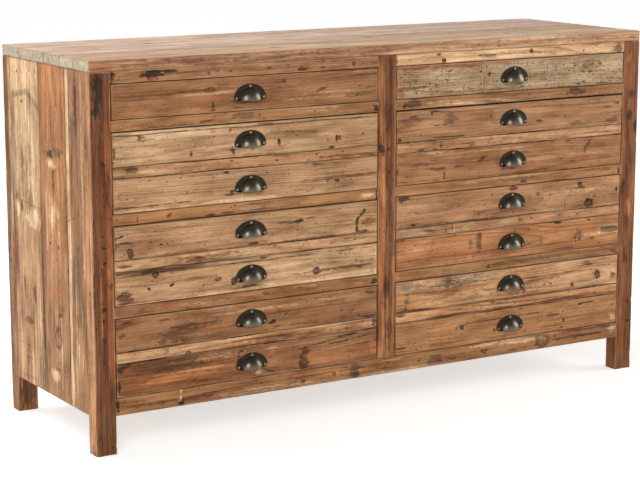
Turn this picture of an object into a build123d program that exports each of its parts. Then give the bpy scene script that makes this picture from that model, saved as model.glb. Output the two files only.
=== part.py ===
import os

from build123d import *

# Apothecary chest in reclaimed pine: two columns of drawers in a framed case on four corner posts.
# The top row has single drawers. Each drawer below it has two boards and a strip on its front,
# so that it looks like two shallow drawers. Millimetres, +X along the width, front at -Y, +Z up.
# The origin is at floor level, under the middle of the chest with its pulls.

# Case
case_width = 1600.0
case_depth = 500.0
leg_height = 92.0
bottom_rail_height = 41.0
drawer_rail_height = 26.0
top_rail_height = 28.0
top_thickness = 26.0
post_width = 52.0
stile_width = 52.0
frame_depth = 41.0  # posts, stile and rails, front to back
side_plank_thickness = 22.0
back_board_thickness = 10.0
back_rail_height = 40.0
partition_thickness = 18.0
bottom_panel_thickness = 12.0
back_board_count = 6
top_plank_shares = (0.32, 0.18, 0.29, 0.21)  # of the case's depth, from the front
side_plank_shares = (0.227, 0.357, 0.416)  # of the depth between the posts, from the front

# Drawer fronts
row_board_counts = (1, 2, 2, 2)  # boards on a drawer of each row, from the top row down
board_height = 80.5
strip_height = 26.5
face_thickness = 20.0
face_gap = 1.5  # over and under each front
side_gap = 2.0  # beside each front

# Drawer boxes
box_wall = 14.0
box_gap = 4.0  # from the box to the sides of its opening
box_headroom = 18.0  # from the top of the walls to the top of the front
box_bottom_thickness = 6.0
box_bottom_rise = 9.0  # from the foot of the walls to the bottom
groove_depth = 6.0

# Runners, guides and stops
runner_height = 18.0
guide_height = 14.0
stop_length = 15.0
stop_height = 20.0
running_gap = 0.3  # between a drawer and its runners and stops
guide_gap = 0.5  # between a drawer and its guides

# Cup pulls
pull_width = 85.0
pull_rise = 32.5  # from the line of the two lugs to the crown of the flange
pull_lift = 3.0  # middle of the pull over the middle of its board
lug_radius = 6.2
flange_thickness = 1.8
dome_lug_gap = 1.1  # between the dome and each lug
crown_band = 10.5  # flange over the dome
mouth_rise = 1.5  # open mouth over the middle of the dome
dome_wall = 1.6
lip_projection = 21.0  # from the face of the drawer

# Pull screws
screw_head_radius = 3.4
screw_head_height = 1.8
screw_shank_radius = 1.5
screw_length = 14.0  # under the head
screw_gap = 0.15  # round the shank

# Places along the depth
front_y = (lip_projection - case_depth) / 2
back_y = front_y + case_depth
inner_front_y = front_y + frame_depth
inner_back_y = back_y - frame_depth
box_front_y = front_y + face_thickness
box_back_y = inner_back_y - stop_length - running_gap

# Places along the width, for the right half
outer_x = case_width / 2
opening_outer_x = outer_x - post_width
opening_inner_x = stile_width / 2
opening_width = opening_outer_x - opening_inner_x
column_x = (opening_outer_x + opening_inner_x) / 2
plank_inner_x = outer_x - side_plank_thickness

# Places along the height
case_floor = leg_height + bottom_rail_height


def face_height(boards):
    """Height of a drawer front made of that many boards, with strips between them."""
    return boards * board_height + (boards - 1) * strip_height


def row_levels():
    """Foot of each row's opening, from the top row down, and the foot of the top rail."""
    feet = []
    level = case_floor
    for boards in reversed(row_board_counts):
        feet.insert(0, level)
        level += face_height(boards) + 2 * face_gap + drawer_rail_height
    return feet, level - drawer_rail_height


row_feet, top_rail_foot = row_levels()
top_foot = top_rail_foot + top_rail_height
case_height = top_foot + top_thickness


def block(x_span, y_span, z_span):
    """A box that fills the three spans, each given by its two ends."""
    spans = [sorted(span) for span in (x_span, y_span, z_span)]
    middle = [(low + high) / 2 for low, high in spans]
    return Pos(*middle) * Box(*[high - low for low, high in spans])


def split_span(low, high, shares):
    """Cuts a span into neighbouring spans with the given shares of its length."""
    spans = []
    start = low
    for share in shares:
        end = start + share * (high - low) / sum(shares)
        spans.append((start, end))
        start = end
    return spans


def save(node, pieces):
    """Writes a node's separate solids to its file."""
    solids = [solid for piece in pieces for solid in piece.solids()]
    export_step(Compound(solids), f"parts/{node}.step")


SIDES = {"left": -1, "right": 1}


def on_side(side, near_x, far_x):
    """Span along the width on one side of the middle."""
    return side * near_x, side * far_x


# Top, posts, stile and rails


def top_planks():
    """Planks of the top, side by side along the depth."""
    width_span = (-outer_x, outer_x)
    spans = split_span(front_y, back_y, top_plank_shares)
    return [block(width_span, span, (top_foot, case_height)) for span in spans]


def corner_posts():
    """The four posts, by name."""
    ends = {"front": (front_y, inner_front_y), "back": (inner_back_y, back_y)}
    posts = {}
    for end, depth_span in ends.items():
        for name, side in SIDES.items():
            width_span = on_side(side, opening_outer_x, outer_x)
            posts[f"{end}_{name}_post"] = block(width_span, depth_span, (0, top_foot))
    return posts


def centre_stile():
    """Upright between the two columns of drawers, standing on the bottom rail."""
    return block((-opening_inner_x, opening_inner_x), (front_y, inner_front_y), (case_floor, top_foot))


def front_rail(side, foot, height):
    """A rail across one column, from the stile to the post."""
    width_span = on_side(side, opening_inner_x, opening_outer_x)
    return block(width_span, (front_y, inner_front_y), (foot, foot + height))


def drawer_rails(side):
    """Rails under all but the lowest drawer of one column."""
    return [front_rail(side, foot - drawer_rail_height, drawer_rail_height) for foot in row_feet[:-1]]


def bottom_rail():
    """Rail from post to post, under the lowest drawers."""
    width_span = (-opening_outer_x, opening_outer_x)
    return block(width_span, (front_y, inner_front_y), (leg_height, case_floor))


# Sides, back, bottom and partition


def side_planks(side):
    """Upright planks between the posts of one end of the case."""
    width_span = on_side(side, plank_inner_x, outer_x)
    spans = split_span(inner_front_y, inner_back_y, side_plank_shares)
    return [block(width_span, span, (leg_height, top_foot)) for span in spans]


def back_boards():
    """Thin upright boards between the back posts."""
    spans = split_span(-opening_outer_x, opening_outer_x, [1] * back_board_count)
    depth_span = (back_y - back_board_thickness, back_y)
    return [block(span, depth_span, (leg_height, top_foot)) for span in spans]


def back_rails():
    """Rails that the back boards are nailed to, at their feet and under the top."""
    width_span = (-opening_outer_x, opening_outer_x)
    depth_span = (inner_back_y, back_y - back_board_thickness)
    feet = (leg_height, top_foot - back_rail_height)
    return [block(width_span, depth_span, (foot, foot + back_rail_height)) for foot in feet]


def bottom_panel():
    """Panel that closes the case from below, behind the bottom rail."""
    height_span = (leg_height, leg_height + bottom_panel_thickness)
    return block((-plank_inner_x, plank_inner_x), (inner_front_y, inner_back_y), height_span)


def centre_partition():
    """Upright panel behind the stile, which carries the inner runners."""
    half = partition_thickness / 2
    height_span = (leg_height + bottom_panel_thickness, top_foot)
    return block((-half, half), (inner_front_y, inner_back_y), height_span)


# Runners


def runner_top(foot):
    """Upper face of the runners in the row with that foot."""
    return foot + face_gap - running_gap


def runner_set(side, carrier_x, opening_x, inward):
    """Runners and guides along one edge of a column of drawers.

    The runner lies under a drawer's wall and the guide on the runner, beside that wall.
    carrier_x is the face that they are fixed to, opening_x the edge of the opening there,
    and inward the sense along the half width that leads from that edge into the opening.
    """
    wall_x = opening_x + inward * box_gap
    runner_span = on_side(side, carrier_x, wall_x + inward * box_wall)
    guide_span = on_side(side, carrier_x, wall_x - inward * guide_gap)
    depth_span = (inner_front_y, inner_back_y)
    pieces = []
    for foot in row_feet:
        level = runner_top(foot)
        pieces.append(block(runner_span, depth_span, (level - runner_height, level)))
        pieces.append(block(guide_span, depth_span, (level, level + guide_height)))
    return pieces


def outer_runners(side):
    """Runners and guides on the planks of one end."""
    return runner_set(side, plank_inner_x, opening_outer_x, -1)


def inner_runners(side):
    """Runners and guides on one face of the partition."""
    return runner_set(side, partition_thickness / 2, opening_inner_x, 1)


def drawer_stops():
    """Blocks on the runners that stop each drawer with its front flush."""
    stops = []
    depth_span = (inner_back_y - stop_length, inner_back_y)
    for side in SIDES.values():
        for opening_x, inward in ((opening_outer_x, -1), (opening_inner_x, 1)):
            wall_x = opening_x + inward * box_gap
            width_span = on_side(side, wall_x - inward * guide_gap, wall_x + inward * box_wall)
            for foot in row_feet:
                level = runner_top(foot)
                stops.append(block(width_span, depth_span, (level, level + stop_height)))
    return stops


# Cup pulls and their screws, round the middle of the line of the lugs, against the plane y = 0


lug_x = pull_width / 2 - lug_radius
dome_radius = lug_x - lug_radius - dome_lug_gap
dome_drop = dome_radius + crown_band - pull_rise
dome_projection = lip_projection / (1 - (mouth_rise / dome_radius) ** 2) ** 0.5
screw_crown = pull_rise - crown_band / 2
screw_places = ((-lug_x, 0), (0, screw_crown), (lug_x, 0))


def half_dome(radius, projection):
    """Solid dome with an elliptical profile, standing out towards -Y."""
    profile = Ellipse(radius, projection) & Pos(radius / 2, -projection / 2) * Rectangle(radius, projection)
    return Pos(0, 0, -dome_drop) * revolve(profile, Axis.Y)


def cup_pull():
    """Arched flange with two lugs and three screw holes, and a half dome open below."""
    arch = Ellipse(pull_width / 2, pull_rise) & Pos(0, pull_rise / 2) * Rectangle(pull_width, pull_rise)
    outline = arch + [Pos(x, 0) * Circle(lug_radius) for x in (-lug_x, lug_x)]
    holes = [Pos(*place) * Circle(screw_shank_radius + screw_gap) for place in screw_places]
    flange = extrude(Plane.XZ * (outline - holes), flange_thickness)
    shell_space = (-pull_width, pull_width), (-dome_projection, 0), (mouth_rise - dome_drop, pull_rise)
    dome = half_dome(dome_radius, dome_projection) & block(*shell_space)
    hollow = half_dome(dome_radius - dome_wall, dome_projection - dome_wall)
    return flange + dome - hollow


def pull_screw():
    """Round-headed wood screw, with its head against the flange."""
    head_sphere = (screw_head_radius**2 + screw_head_height**2) / (2 * screw_head_height)
    head_blank = Cylinder(screw_head_radius, screw_head_height, align=(Align.CENTER, Align.CENTER, Align.MIN))
    head = head_blank & Pos(0, 0, screw_head_height - head_sphere) * Sphere(head_sphere)
    shank = Cylinder(screw_shank_radius, screw_length, align=(Align.CENTER, Align.CENTER, Align.MAX))
    return Pos(0, -flange_thickness, 0) * Rot(90, 0, 0) * (head + shank)


def pilot_hole():
    """Room for a screw's shank in a drawer front."""
    depth = screw_length - flange_thickness + screw_gap
    bore = Cylinder(screw_shank_radius + screw_gap, depth, align=(Align.CENTER, Align.CENTER, Align.MAX))
    return Rot(90, 0, 0) * bore


# Drawers


def face_boards(side, foot, boards):
    """Boards and strips of one drawer front, from the foot up, and the places of its pulls."""
    edge = opening_width / 2 - side_gap
    width_span = (side * column_x - edge, side * column_x + edge)
    depth_span = (front_y, box_front_y)
    pieces = []
    pull_places = []
    level = foot + face_gap
    for number in range(boards):
        if number:
            pieces.append(block(width_span, depth_span, (level, level + strip_height)))
            level += strip_height
        lug_line = level + board_height / 2 + pull_lift - (pull_rise - lug_radius) / 2
        pull_place = Pos(side * column_x, front_y, lug_line)
        holes = [pull_place * Pos(x, 0, z) * pilot_hole() for x, z in screw_places]
        pieces.append(block(width_span, depth_span, (level, level + board_height)) - holes)
        pull_places.append(pull_place)
        level += board_height
    return pieces, pull_places


def drawer_box(side, foot, boards):
    """Four walls of one drawer's box, grooved for the bottom, and that bottom."""
    low_x = side * column_x - opening_width / 2 + box_gap
    high_x = side * column_x + opening_width / 2 - box_gap
    low_z = foot + face_gap
    height_span = (low_z, low_z + face_height(boards) - box_headroom)
    reach = box_wall - groove_depth
    bottom_z = low_z + box_bottom_rise
    bottom = block(
        (low_x + reach, high_x - reach),
        (box_front_y + reach, box_back_y - reach),
        (bottom_z, bottom_z + box_bottom_thickness),
    )
    depth_span = (box_front_y, box_back_y)
    between = (low_x + box_wall, high_x - box_wall)
    walls = [
        block((low_x, low_x + box_wall), depth_span, height_span),
        block((high_x - box_wall, high_x), depth_span, height_span),
        block(between, (box_front_y, box_front_y + box_wall), height_span),
        block(between, (box_back_y - box_wall, box_back_y), height_span),
    ]
    return [wall - bottom for wall in walls], bottom


os.makedirs("parts", exist_ok=True)

save("top_planks", top_planks())
for node, post in corner_posts().items():
    save(node, [post])
save("centre_stile", [centre_stile()])
save("top_rails", [front_rail(side, top_rail_foot, top_rail_height) for side in SIDES.values()])
save("bottom_rail", [bottom_rail()])
save("back_boards", back_boards())
save("back_rails", back_rails())
save("bottom_panel", [bottom_panel()])
save("centre_partition", [centre_partition()])
save("centre_runners", inner_runners(SIDES["left"]) + inner_runners(SIDES["right"]))
save("drawer_stops", drawer_stops())

for name, side in SIDES.items():
    save(f"{name}_drawer_rails", drawer_rails(side))
    save(f"{name}_side_planks", side_planks(side))
    save(f"{name}_runners", outer_runners(side))
    for row, (foot, boards) in enumerate(zip(row_feet, row_board_counts), start=1):
        drawer = f"{name}_drawer_{row}"
        faces, pull_places = face_boards(side, foot, boards)
        walls, bottom = drawer_box(side, foot, boards)
        screws = [place * Pos(x, 0, z) * pull_screw() for place in pull_places for x, z in screw_places]
        save(f"{drawer}_front", faces)
        save(f"{drawer}_box", walls)
        save(f"{drawer}_bottom", [bottom])
        save(f"{drawer}_cup_pulls", [place * cup_pull() for place in pull_places])
        save(f"{drawer}_pull_screws", screws)
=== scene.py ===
"""Looks of a wide apothecary chest in reclaimed pine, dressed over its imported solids."""

import logging
import math
from dataclasses import dataclass, field, replace
from enum import Enum
from functools import partial

import bmesh
import bpy
import numpy as np
from mathutils import Euler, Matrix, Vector


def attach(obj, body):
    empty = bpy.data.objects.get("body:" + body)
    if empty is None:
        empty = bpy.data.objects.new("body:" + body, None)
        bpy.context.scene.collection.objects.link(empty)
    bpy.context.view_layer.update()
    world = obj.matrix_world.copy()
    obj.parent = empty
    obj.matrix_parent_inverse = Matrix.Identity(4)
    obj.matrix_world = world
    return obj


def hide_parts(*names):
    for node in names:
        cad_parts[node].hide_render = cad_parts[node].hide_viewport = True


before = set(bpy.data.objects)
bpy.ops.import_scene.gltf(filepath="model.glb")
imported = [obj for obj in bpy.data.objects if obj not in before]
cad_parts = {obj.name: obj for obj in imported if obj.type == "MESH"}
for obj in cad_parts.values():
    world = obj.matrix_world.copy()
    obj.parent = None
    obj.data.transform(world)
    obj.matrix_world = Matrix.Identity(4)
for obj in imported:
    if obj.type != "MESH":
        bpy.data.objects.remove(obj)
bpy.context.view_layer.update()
LOG = logging.getLogger("apothecary_chest")
MM = 0.001
ACROSS_SEEDS = 7919
AXIS_PRIMES = np.array([73856093, 19349663, 83492791], np.uint64)
SEED_PRIME = 2654435761
MIX_PRIME = np.uint64(1274126177)
LARGEST = 0xFFFFFF


class Tone(Enum):
    """Board colours, written as a paint chart in sRGB from 0 to 255."""

    STRAW = (198, 157, 115)
    HONEY = (183, 139, 99)
    TAN = (168, 120, 82)
    RUSSET = (178, 120, 75)
    CHESTNUT = (150, 103, 67)
    UMBER = (133, 82, 47)
    BARK = (115, 68, 40)
    GINGER = (168, 117, 74)
    SAWN = (172, 142, 108)
    ROSE = (188, 154, 127)
    INSIDE = (196, 160, 120)


class Mark(Enum):
    """Colours of knots, stains and scars, in sRGB from 0 to 255."""

    INK = (52, 33, 20)
    EARTH = (90, 55, 31)
    SMOKE = (108, 79, 53)
    PLUM = (96, 61, 48)
    RUST = (156, 90, 52)
    AMBER = (190, 122, 74)
    PALE = (222, 182, 137)
    BONE = (236, 200, 155)
    LIMED = (180, 161, 137)


# Short names for the colours, which the boards' looks use.
STRAW, HONEY, TAN, RUSSET, CHESTNUT, UMBER, BARK, GINGER, SAWN, ROSE, INSIDE = Tone
INK, EARTH, SMOKE, PLUM, RUST, AMBER, PALE, BONE, LIMED = Mark


class Face(Enum):
    """A side of a board's box: the axis that it is square to, and which end of it."""

    LEFT = (0, -1)
    RIGHT = (0, 1)
    FRONT = (1, -1)
    BACK = (1, 1)
    FOOT = (2, -1)
    TOP = (2, 1)


class Axis(Enum):
    """The way that a board's grain runs."""

    ACROSS = 0
    DEEP = 1
    UP = 2


def linear(colour: tuple[int, int, int]) -> np.ndarray:
    """Turns a chart colour into the linear values that a shader takes.

    Args:
        colour: red, green and blue in sRGB, from 0 to 255.

    Returns:
        The same colour in linear light, from 0 to 1.
    """
    share = np.array(colour, float) / 255.0
    return np.where(share <= 0.04045, share / 12.92, ((share + 0.055) / 1.055) ** 2.4)


def ease(low: float, high: float, value: np.ndarray) -> np.ndarray:
    """Rises smoothly from 0 at low to 1 at high, or falls where low is the larger.

    Args:
        low: where the result is 0.
        high: where the result is 1.
        value: the places to read.

    Returns:
        The eased share at each place.
    """
    share = np.clip((value - low) / (high - low), 0.0, 1.0)
    return share * share * (3.0 - 2.0 * share)


def window(low: float, high: float, soft: float, value: np.ndarray) -> np.ndarray:
    """Gives 1 between low and high and 0 outside them, with soft sides.

    Args:
        low: the middle of the rising side.
        high: the middle of the falling side.
        soft: half the width of a side.
        value: the places to read.

    Returns:
        The share at each place.
    """
    return ease(low - soft, low + soft, value) * ease(high + soft, high - soft, value)


def lattice_noise(places: np.ndarray, seed: int) -> np.ndarray:
    """Smooth noise with one cell per unit of length.

    Args:
        places: points, one per row.
        seed: picks one noise among many.

    Returns:
        A value from 0 to 1 at each point.
    """
    cell = np.floor(places).astype(np.int64)
    part = places - cell
    part = part * part * (3.0 - 2.0 * part)
    total = np.zeros(len(places))
    for corner in range(8):
        step = np.array([(corner >> axis) & 1 for axis in range(3)])
        weight = np.prod(np.where(step, part, 1.0 - part), axis=1)
        mixed = (cell + step).astype(np.uint64) * AXIS_PRIMES
        value = mixed[:, 0] ^ mixed[:, 1] ^ mixed[:, 2] ^ np.uint64(seed * SEED_PRIME % 2**40)
        value = (value ^ (value >> np.uint64(13))) * MIX_PRIME
        value = (value ^ (value >> np.uint64(16))) & np.uint64(LARGEST)
        total += weight * value / float(LARGEST)
    return total


def solids_of(node: str) -> list[tuple[np.ndarray, np.ndarray]]:
    """Finds the boxes of the separate solids in a CAD node.

    The node's triangles come solid by solid, so a solid ends where no edge is left open.

    Args:
        node: the CAD node's name.

    Returns:
        The lowest and highest corner of each solid, in millimetres.
    """
    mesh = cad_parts[node].data
    points = np.array([vertex.co for vertex in mesh.vertices], float) / MM
    mesh.calc_loop_triangles()
    triangles = np.array([triangle.vertices for triangle in mesh.loop_triangles])
    _, place_ids = np.unique(np.round(points, 2), axis=0, return_inverse=True)
    place_ids = place_ids.reshape(-1)
    boxes, open_edges, start = [], {}, 0
    for count, triangle in enumerate(triangles, 1):
        first, second, third = (int(place_ids[vertex]) for vertex in triangle)
        for edge in ((first, second), (second, third), (third, first)):
            back = (edge[1], edge[0])
            if open_edges.get(back):
                open_edges[back] -= 1
            else:
                open_edges[edge] = open_edges.get(edge, 0) + 1
        if not any(open_edges.values()):
            corners = points[triangles[start:count].ravel()]
            boxes.append((corners.min(0), corners.max(0)))
            open_edges, start = {}, count
    return boxes


@dataclass(frozen=True)
class Smear:
    """A soft discoloured patch.

    Places are percent of the board: u along the grain, v across it. Sizes are millimetres.
    """

    u: float
    v: float
    long: float
    wide: float
    strength: float = 0.6
    tilt: float = 0.0
    mark: Mark = EARTH
    face: Face | None = None

    def paint(self, coat: "Coat") -> None:
        """Lays the patch on the board, ragged along the grain."""
        reach, weight = coat.reach(self)
        coat.stain(self.mark, self.strength * weight * ease(1.25, 0.45, reach + 0.4 * coat.ragged))


@dataclass(frozen=True)
class Knot:
    """A knot: a dark rim round a paler heart, with the grain flowing round it."""

    u: float
    v: float
    long: float
    wide: float
    mark: Mark = EARTH
    strength: float = 0.85
    tilt: float = 0.0
    face: Face | None = None
    heart: Mark = RUST

    def paint(self, coat: "Coat") -> None:
        """Lays the knot on the board, sinks its rim and bends the grain.

        Args:
            coat: the board's skin.
        """
        reach, weight = coat.reach(self)
        inside = weight * ease(1.3, 0.8, reach + 0.3 * coat.ragged)
        rings = 0.78 + 0.22 * np.cos(9.0 * reach + 2.0 * coat.ragged)
        coat.stain(self.mark, self.strength * inside * rings)
        coat.stain(self.heart, 0.35 * self.strength * weight * ease(0.75, 0.2, reach))
        coat.stain(INK, 0.6 * self.strength * inside * ease(0.5, 0.9, reach + 0.2 * coat.ragged))
        coat.sink(0.35 * inside * ease(0.3, 0.9, reach))
        coat.part_grain(self)


@dataclass(frozen=True)
class Line:
    """A crack, scratch or dark grain line from one place to another."""

    u: float
    v: float
    u_end: float
    v_end: float
    wide: float = 2.0
    strength: float = 0.7
    mark: Mark = EARTH
    depth: float = 0.3
    face: Face | None = None

    def paint(self, coat: "Coat") -> None:
        """Draws the line with a wandering course and fading ends, and cuts it in.

        Args:
            coat: the board's skin.
        """
        along, across, weight = coat.flat(self.face)
        size = np.array(coat.percents(self.face))
        start = np.array([self.u, self.v]) * size
        run = np.array([self.u_end, self.v_end]) * size - start
        share = ((along - start[0]) * run[0] + (across - start[1]) * run[1]) / (run @ run)
        held = np.clip(share, 0.0, 1.0)
        gap = np.hypot(along - start[0] - held * run[0], across - start[1] - held * run[1] + coat.wander)
        fade = ease(0.0, 0.12, held + 0.03) * ease(1.0, 0.85, held - 0.03)
        body = weight * fade * ease(0.75 * self.wide, 0.2 * self.wide, gap)
        coat.stain(self.mark, self.strength * body * (0.75 + 0.5 * coat.ragged))
        coat.sink(self.depth * body)


@dataclass(frozen=True)
class Band:
    """A strip of another tone along the board, from v to v_end, with soft, wandering sides."""

    v: float
    v_end: float
    mark: Mark = PALE
    strength: float = 0.5
    u: float = 0.0
    u_end: float = 100.0
    face: Face | None = None
    soft: float = 3.0
    soft_ends: float = 36.0

    def paint(self, coat: "Coat") -> None:
        """Lays the strip on the board.

        Args:
            coat: the board's skin.
        """
        along, across, weight = coat.flat(self.face)
        length, width = coat.percents(self.face)
        body = window(self.v * width, self.v_end * width, self.soft, across + 2.0 * coat.wander)
        body = body * window(self.u * length, self.u_end * length, self.soft_ends, along + 20.0 * coat.ragged)
        coat.stain(self.mark, self.strength * weight * body * (0.85 + 0.3 * coat.ragged))


@dataclass(frozen=True)
class Saw:
    """A patch of old saw marks across the grain, with ragged sides."""

    u: float
    u_end: float
    v: float
    v_end: float
    strength: float = 0.6
    face: Face | None = None
    soft: float = 5.0
    soft_ends: float = 12.0

    def paint(self, coat: "Coat") -> None:
        """Raises the saw-mark strength inside the patch.

        Args:
            coat: the board's skin.
        """
        along, across, weight = coat.flat(self.face)
        length, width = coat.percents(self.face)
        body = window(self.u * length, self.u_end * length, self.soft_ends, along + 16.0 * coat.ragged)
        body = body * window(self.v * width, self.v_end * width, self.soft, across + 6.0 * coat.ragged)
        coat.saw = np.maximum(coat.saw, self.strength * weight * body)


@dataclass(frozen=True)
class Specks:
    """A scatter of small dark flecks over a part of the board."""

    count: int
    u: float = 0.0
    u_end: float = 100.0
    v: float = 10.0
    v_end: float = 90.0
    mark: Mark = EARTH
    strength: float = 0.6
    face: Face | None = None

    def paint(self, coat: "Coat") -> None:
        """Lays the flecks on the board, each at a place drawn from the board's own seed.

        Args:
            coat: the board's skin.
        """
        for _ in range(self.count):
            u = coat.chance.uniform(self.u, self.u_end)
            v = coat.chance.uniform(self.v, self.v_end)
            long = coat.chance.uniform(3.5, 9.0)
            wide = coat.chance.uniform(2.2, 4.0)
            strength = self.strength * coat.chance.uniform(0.5, 1.0)
            Smear(u, v, long, wide, strength, mark=self.mark, face=self.face).paint(coat)


@dataclass(frozen=True)
class Streaks:
    """Long soft streaks of several colours, drawn by chance along the whole board."""

    count: int
    strength: float = 0.3
    longest: float = 320.0
    face: Face | None = None
    marks: tuple[Mark, ...] = (EARTH, EARTH, SMOKE, RUST, AMBER, PALE, PALE)

    def paint(self, coat: "Coat") -> None:
        """Lays the streaks on the board, each drawn from the board's own seed.

        Args:
            coat: the board's skin.
        """
        for _ in range(self.count):
            u, v = 100.0 * coat.chance.uniform(0.0, 1.0, 2)
            long = coat.chance.uniform(0.2, 1.0) * self.longest
            wide = coat.chance.uniform(4.0, 13.0)
            strength = self.strength * coat.chance.uniform(0.4, 1.2)
            mark = self.marks[coat.chance.integers(len(self.marks))]
            Smear(u, v, long, wide, strength, mark=mark, face=self.face).paint(coat)


@dataclass(frozen=True)
class BoardLook:
    """How one board looks: its tone at both ends, how light it is, and what age has left on it."""

    tone: Tone
    shade: float = 1.0
    marks: tuple = ()
    far_tone: Tone | None = None


# Sizes in millimetres of the noises that roughen a mark's outline and bend its course.
RAGGED_CELL = (11.0, 3.2)
WANDER_CELL = (70.0, 9.0)
WANDER_WIDTH = 3.0


@dataclass
class Coat:
    """The skin of one board: its points, and what is painted on and cut into them."""

    place: np.ndarray
    outward: np.ndarray
    size: np.ndarray
    grain_axis: int
    main_face: Face
    seed: int
    tone: np.ndarray = field(init=False)
    mark: np.ndarray = field(init=False)
    relief: np.ndarray = field(init=False)
    saw: np.ndarray = field(init=False)
    shift: np.ndarray = field(init=False)
    ragged: np.ndarray = field(init=False)
    wander: np.ndarray = field(init=False)
    chance: np.random.Generator = field(init=False)

    def __post_init__(self) -> None:
        """Starts with a clean skin and draws the noises that roughen its marks."""
        count = len(self.place)
        self.tone = np.zeros((count, 3))
        self.mark = np.zeros((count, 4))
        self.relief = np.zeros(count)
        self.saw = np.zeros(count)
        self.shift = np.zeros(count)
        self.chance = np.random.default_rng(self.seed)
        self.ragged = 2.0 * lattice_noise(self.place * self.cells(*RAGGED_CELL), self.seed) - 1.0
        slow = lattice_noise(self.place * self.cells(*WANDER_CELL), self.seed + 1)
        self.wander = WANDER_WIDTH * (slow - 0.5)

    def cells(self, along: float, across: float) -> np.ndarray:
        """Gives cells per millimetre on the three axes, from a cell's length along and across the grain."""
        return np.where(np.arange(3) == self.grain_axis, 1.0 / along, 1.0 / across)

    def axes(self, face: Face | None) -> tuple[int, int, int, int]:
        """Finds how a face lies.

        Args:
            face: the face, or None for the board's main face.

        Returns:
            The axis that it is square to, its end of that axis, and the axes along and across it.
        """
        square, sign = (face or self.main_face).value
        along = self.grain_axis
        if square == along:
            along = max((axis for axis in range(3) if axis != square), key=lambda axis: self.size[axis])
        return square, sign, along, 3 - square - along

    def percents(self, face: Face | None) -> tuple[float, float]:
        """Gives how long one percent of a face is, along the grain and across it, in millimetres."""
        _, _, along, across = self.axes(face)
        return float(self.size[along]) / 100.0, float(self.size[across]) / 100.0

    def flat(self, face: Face | None) -> tuple[np.ndarray, np.ndarray, np.ndarray]:
        """Reads the skin as a flat face.

        Args:
            face: the face to read, or None for the board's main face.

        Returns:
            Each point's place along and across, and how much it belongs to the face.
        """
        square, sign, along, across = self.axes(face)
        weight = np.clip(1.6 * sign * self.outward[:, square], 0.0, 1.0)
        return self.place[:, along], self.place[:, across], weight

    def reach(self, spot: Smear | Knot) -> tuple[np.ndarray, np.ndarray]:
        """Measures how far each point is from a spot, with 1 at the spot's outline.

        Args:
            spot: the smear or knot.

        Returns:
            The distance in spot sizes, and how much each point belongs to the spot's face.
        """
        along, across, weight = self.flat(spot.face)
        length, width = self.percents(spot.face)
        run, rise = along - spot.u * length, across - spot.v * width
        turn = math.radians(spot.tilt)
        first = (run * math.cos(turn) + rise * math.sin(turn)) / (spot.long / 2.0)
        second = (rise * math.cos(turn) - run * math.sin(turn)) / (spot.wide / 2.0)
        return np.hypot(first, second), weight

    def stain(self, mark: Mark, weight: np.ndarray) -> None:
        """Mixes a mark's colour into the skin by a weight at each point.

        Args:
            mark: the colour.
            weight: its share at each point.
        """
        weight = np.clip(weight, 0.0, 1.0)[:, None]
        held = self.mark[:, 3:]
        total = weight + held * (1.0 - weight)
        mixed = linear(mark.value) * weight + self.mark[:, :3] * held * (1.0 - weight)
        self.mark[:, :3] = mixed / np.maximum(total, 1e-6)
        self.mark[:, 3:] = total

    def sink(self, depth: np.ndarray) -> None:
        """Cuts the skin deeper by a depth at each point, in millimetres."""
        self.relief = self.relief + np.maximum(depth, 0.0)

    def part_grain(self, knot: Knot) -> None:
        """Bends the grain's course round a knot, as water round a post.

        Args:
            knot: the knot.
        """
        along, across, weight = self.flat(knot.face)
        length, width = self.percents(knot.face)
        run, rise = (along - knot.u * length) / 3.0, across - knot.v * width
        radius = 0.9 * knot.wide
        self.shift = self.shift - 0.75 * weight * rise * radius**2 / (run**2 + rise**2 + radius**2)


ARRIS_LINES = np.array([0.0, 0.35, 0.8, 1.5, 2.6])
COARSE_STEP = 10.0


def lattice_lines(length: float, step: float) -> np.ndarray:
    """Places grid lines along one side of a board, closer together near its two ends.

    Args:
        length: the side's length in millimetres.
        step: the widest spacing in millimetres.

    Returns:
        The places of the lines, from 0 to length.
    """
    rows = ARRIS_LINES[::2] if step > COARSE_STEP else ARRIS_LINES
    edge = rows * min(1.0, 0.4 * length / rows[-1])
    middle = length - 2.0 * edge[-1]
    count = max(1, math.ceil(middle / step))
    inner = edge[-1] + middle * np.arange(1, count) / count
    return np.concatenate([edge, inner, (length - edge)[::-1]])


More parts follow.
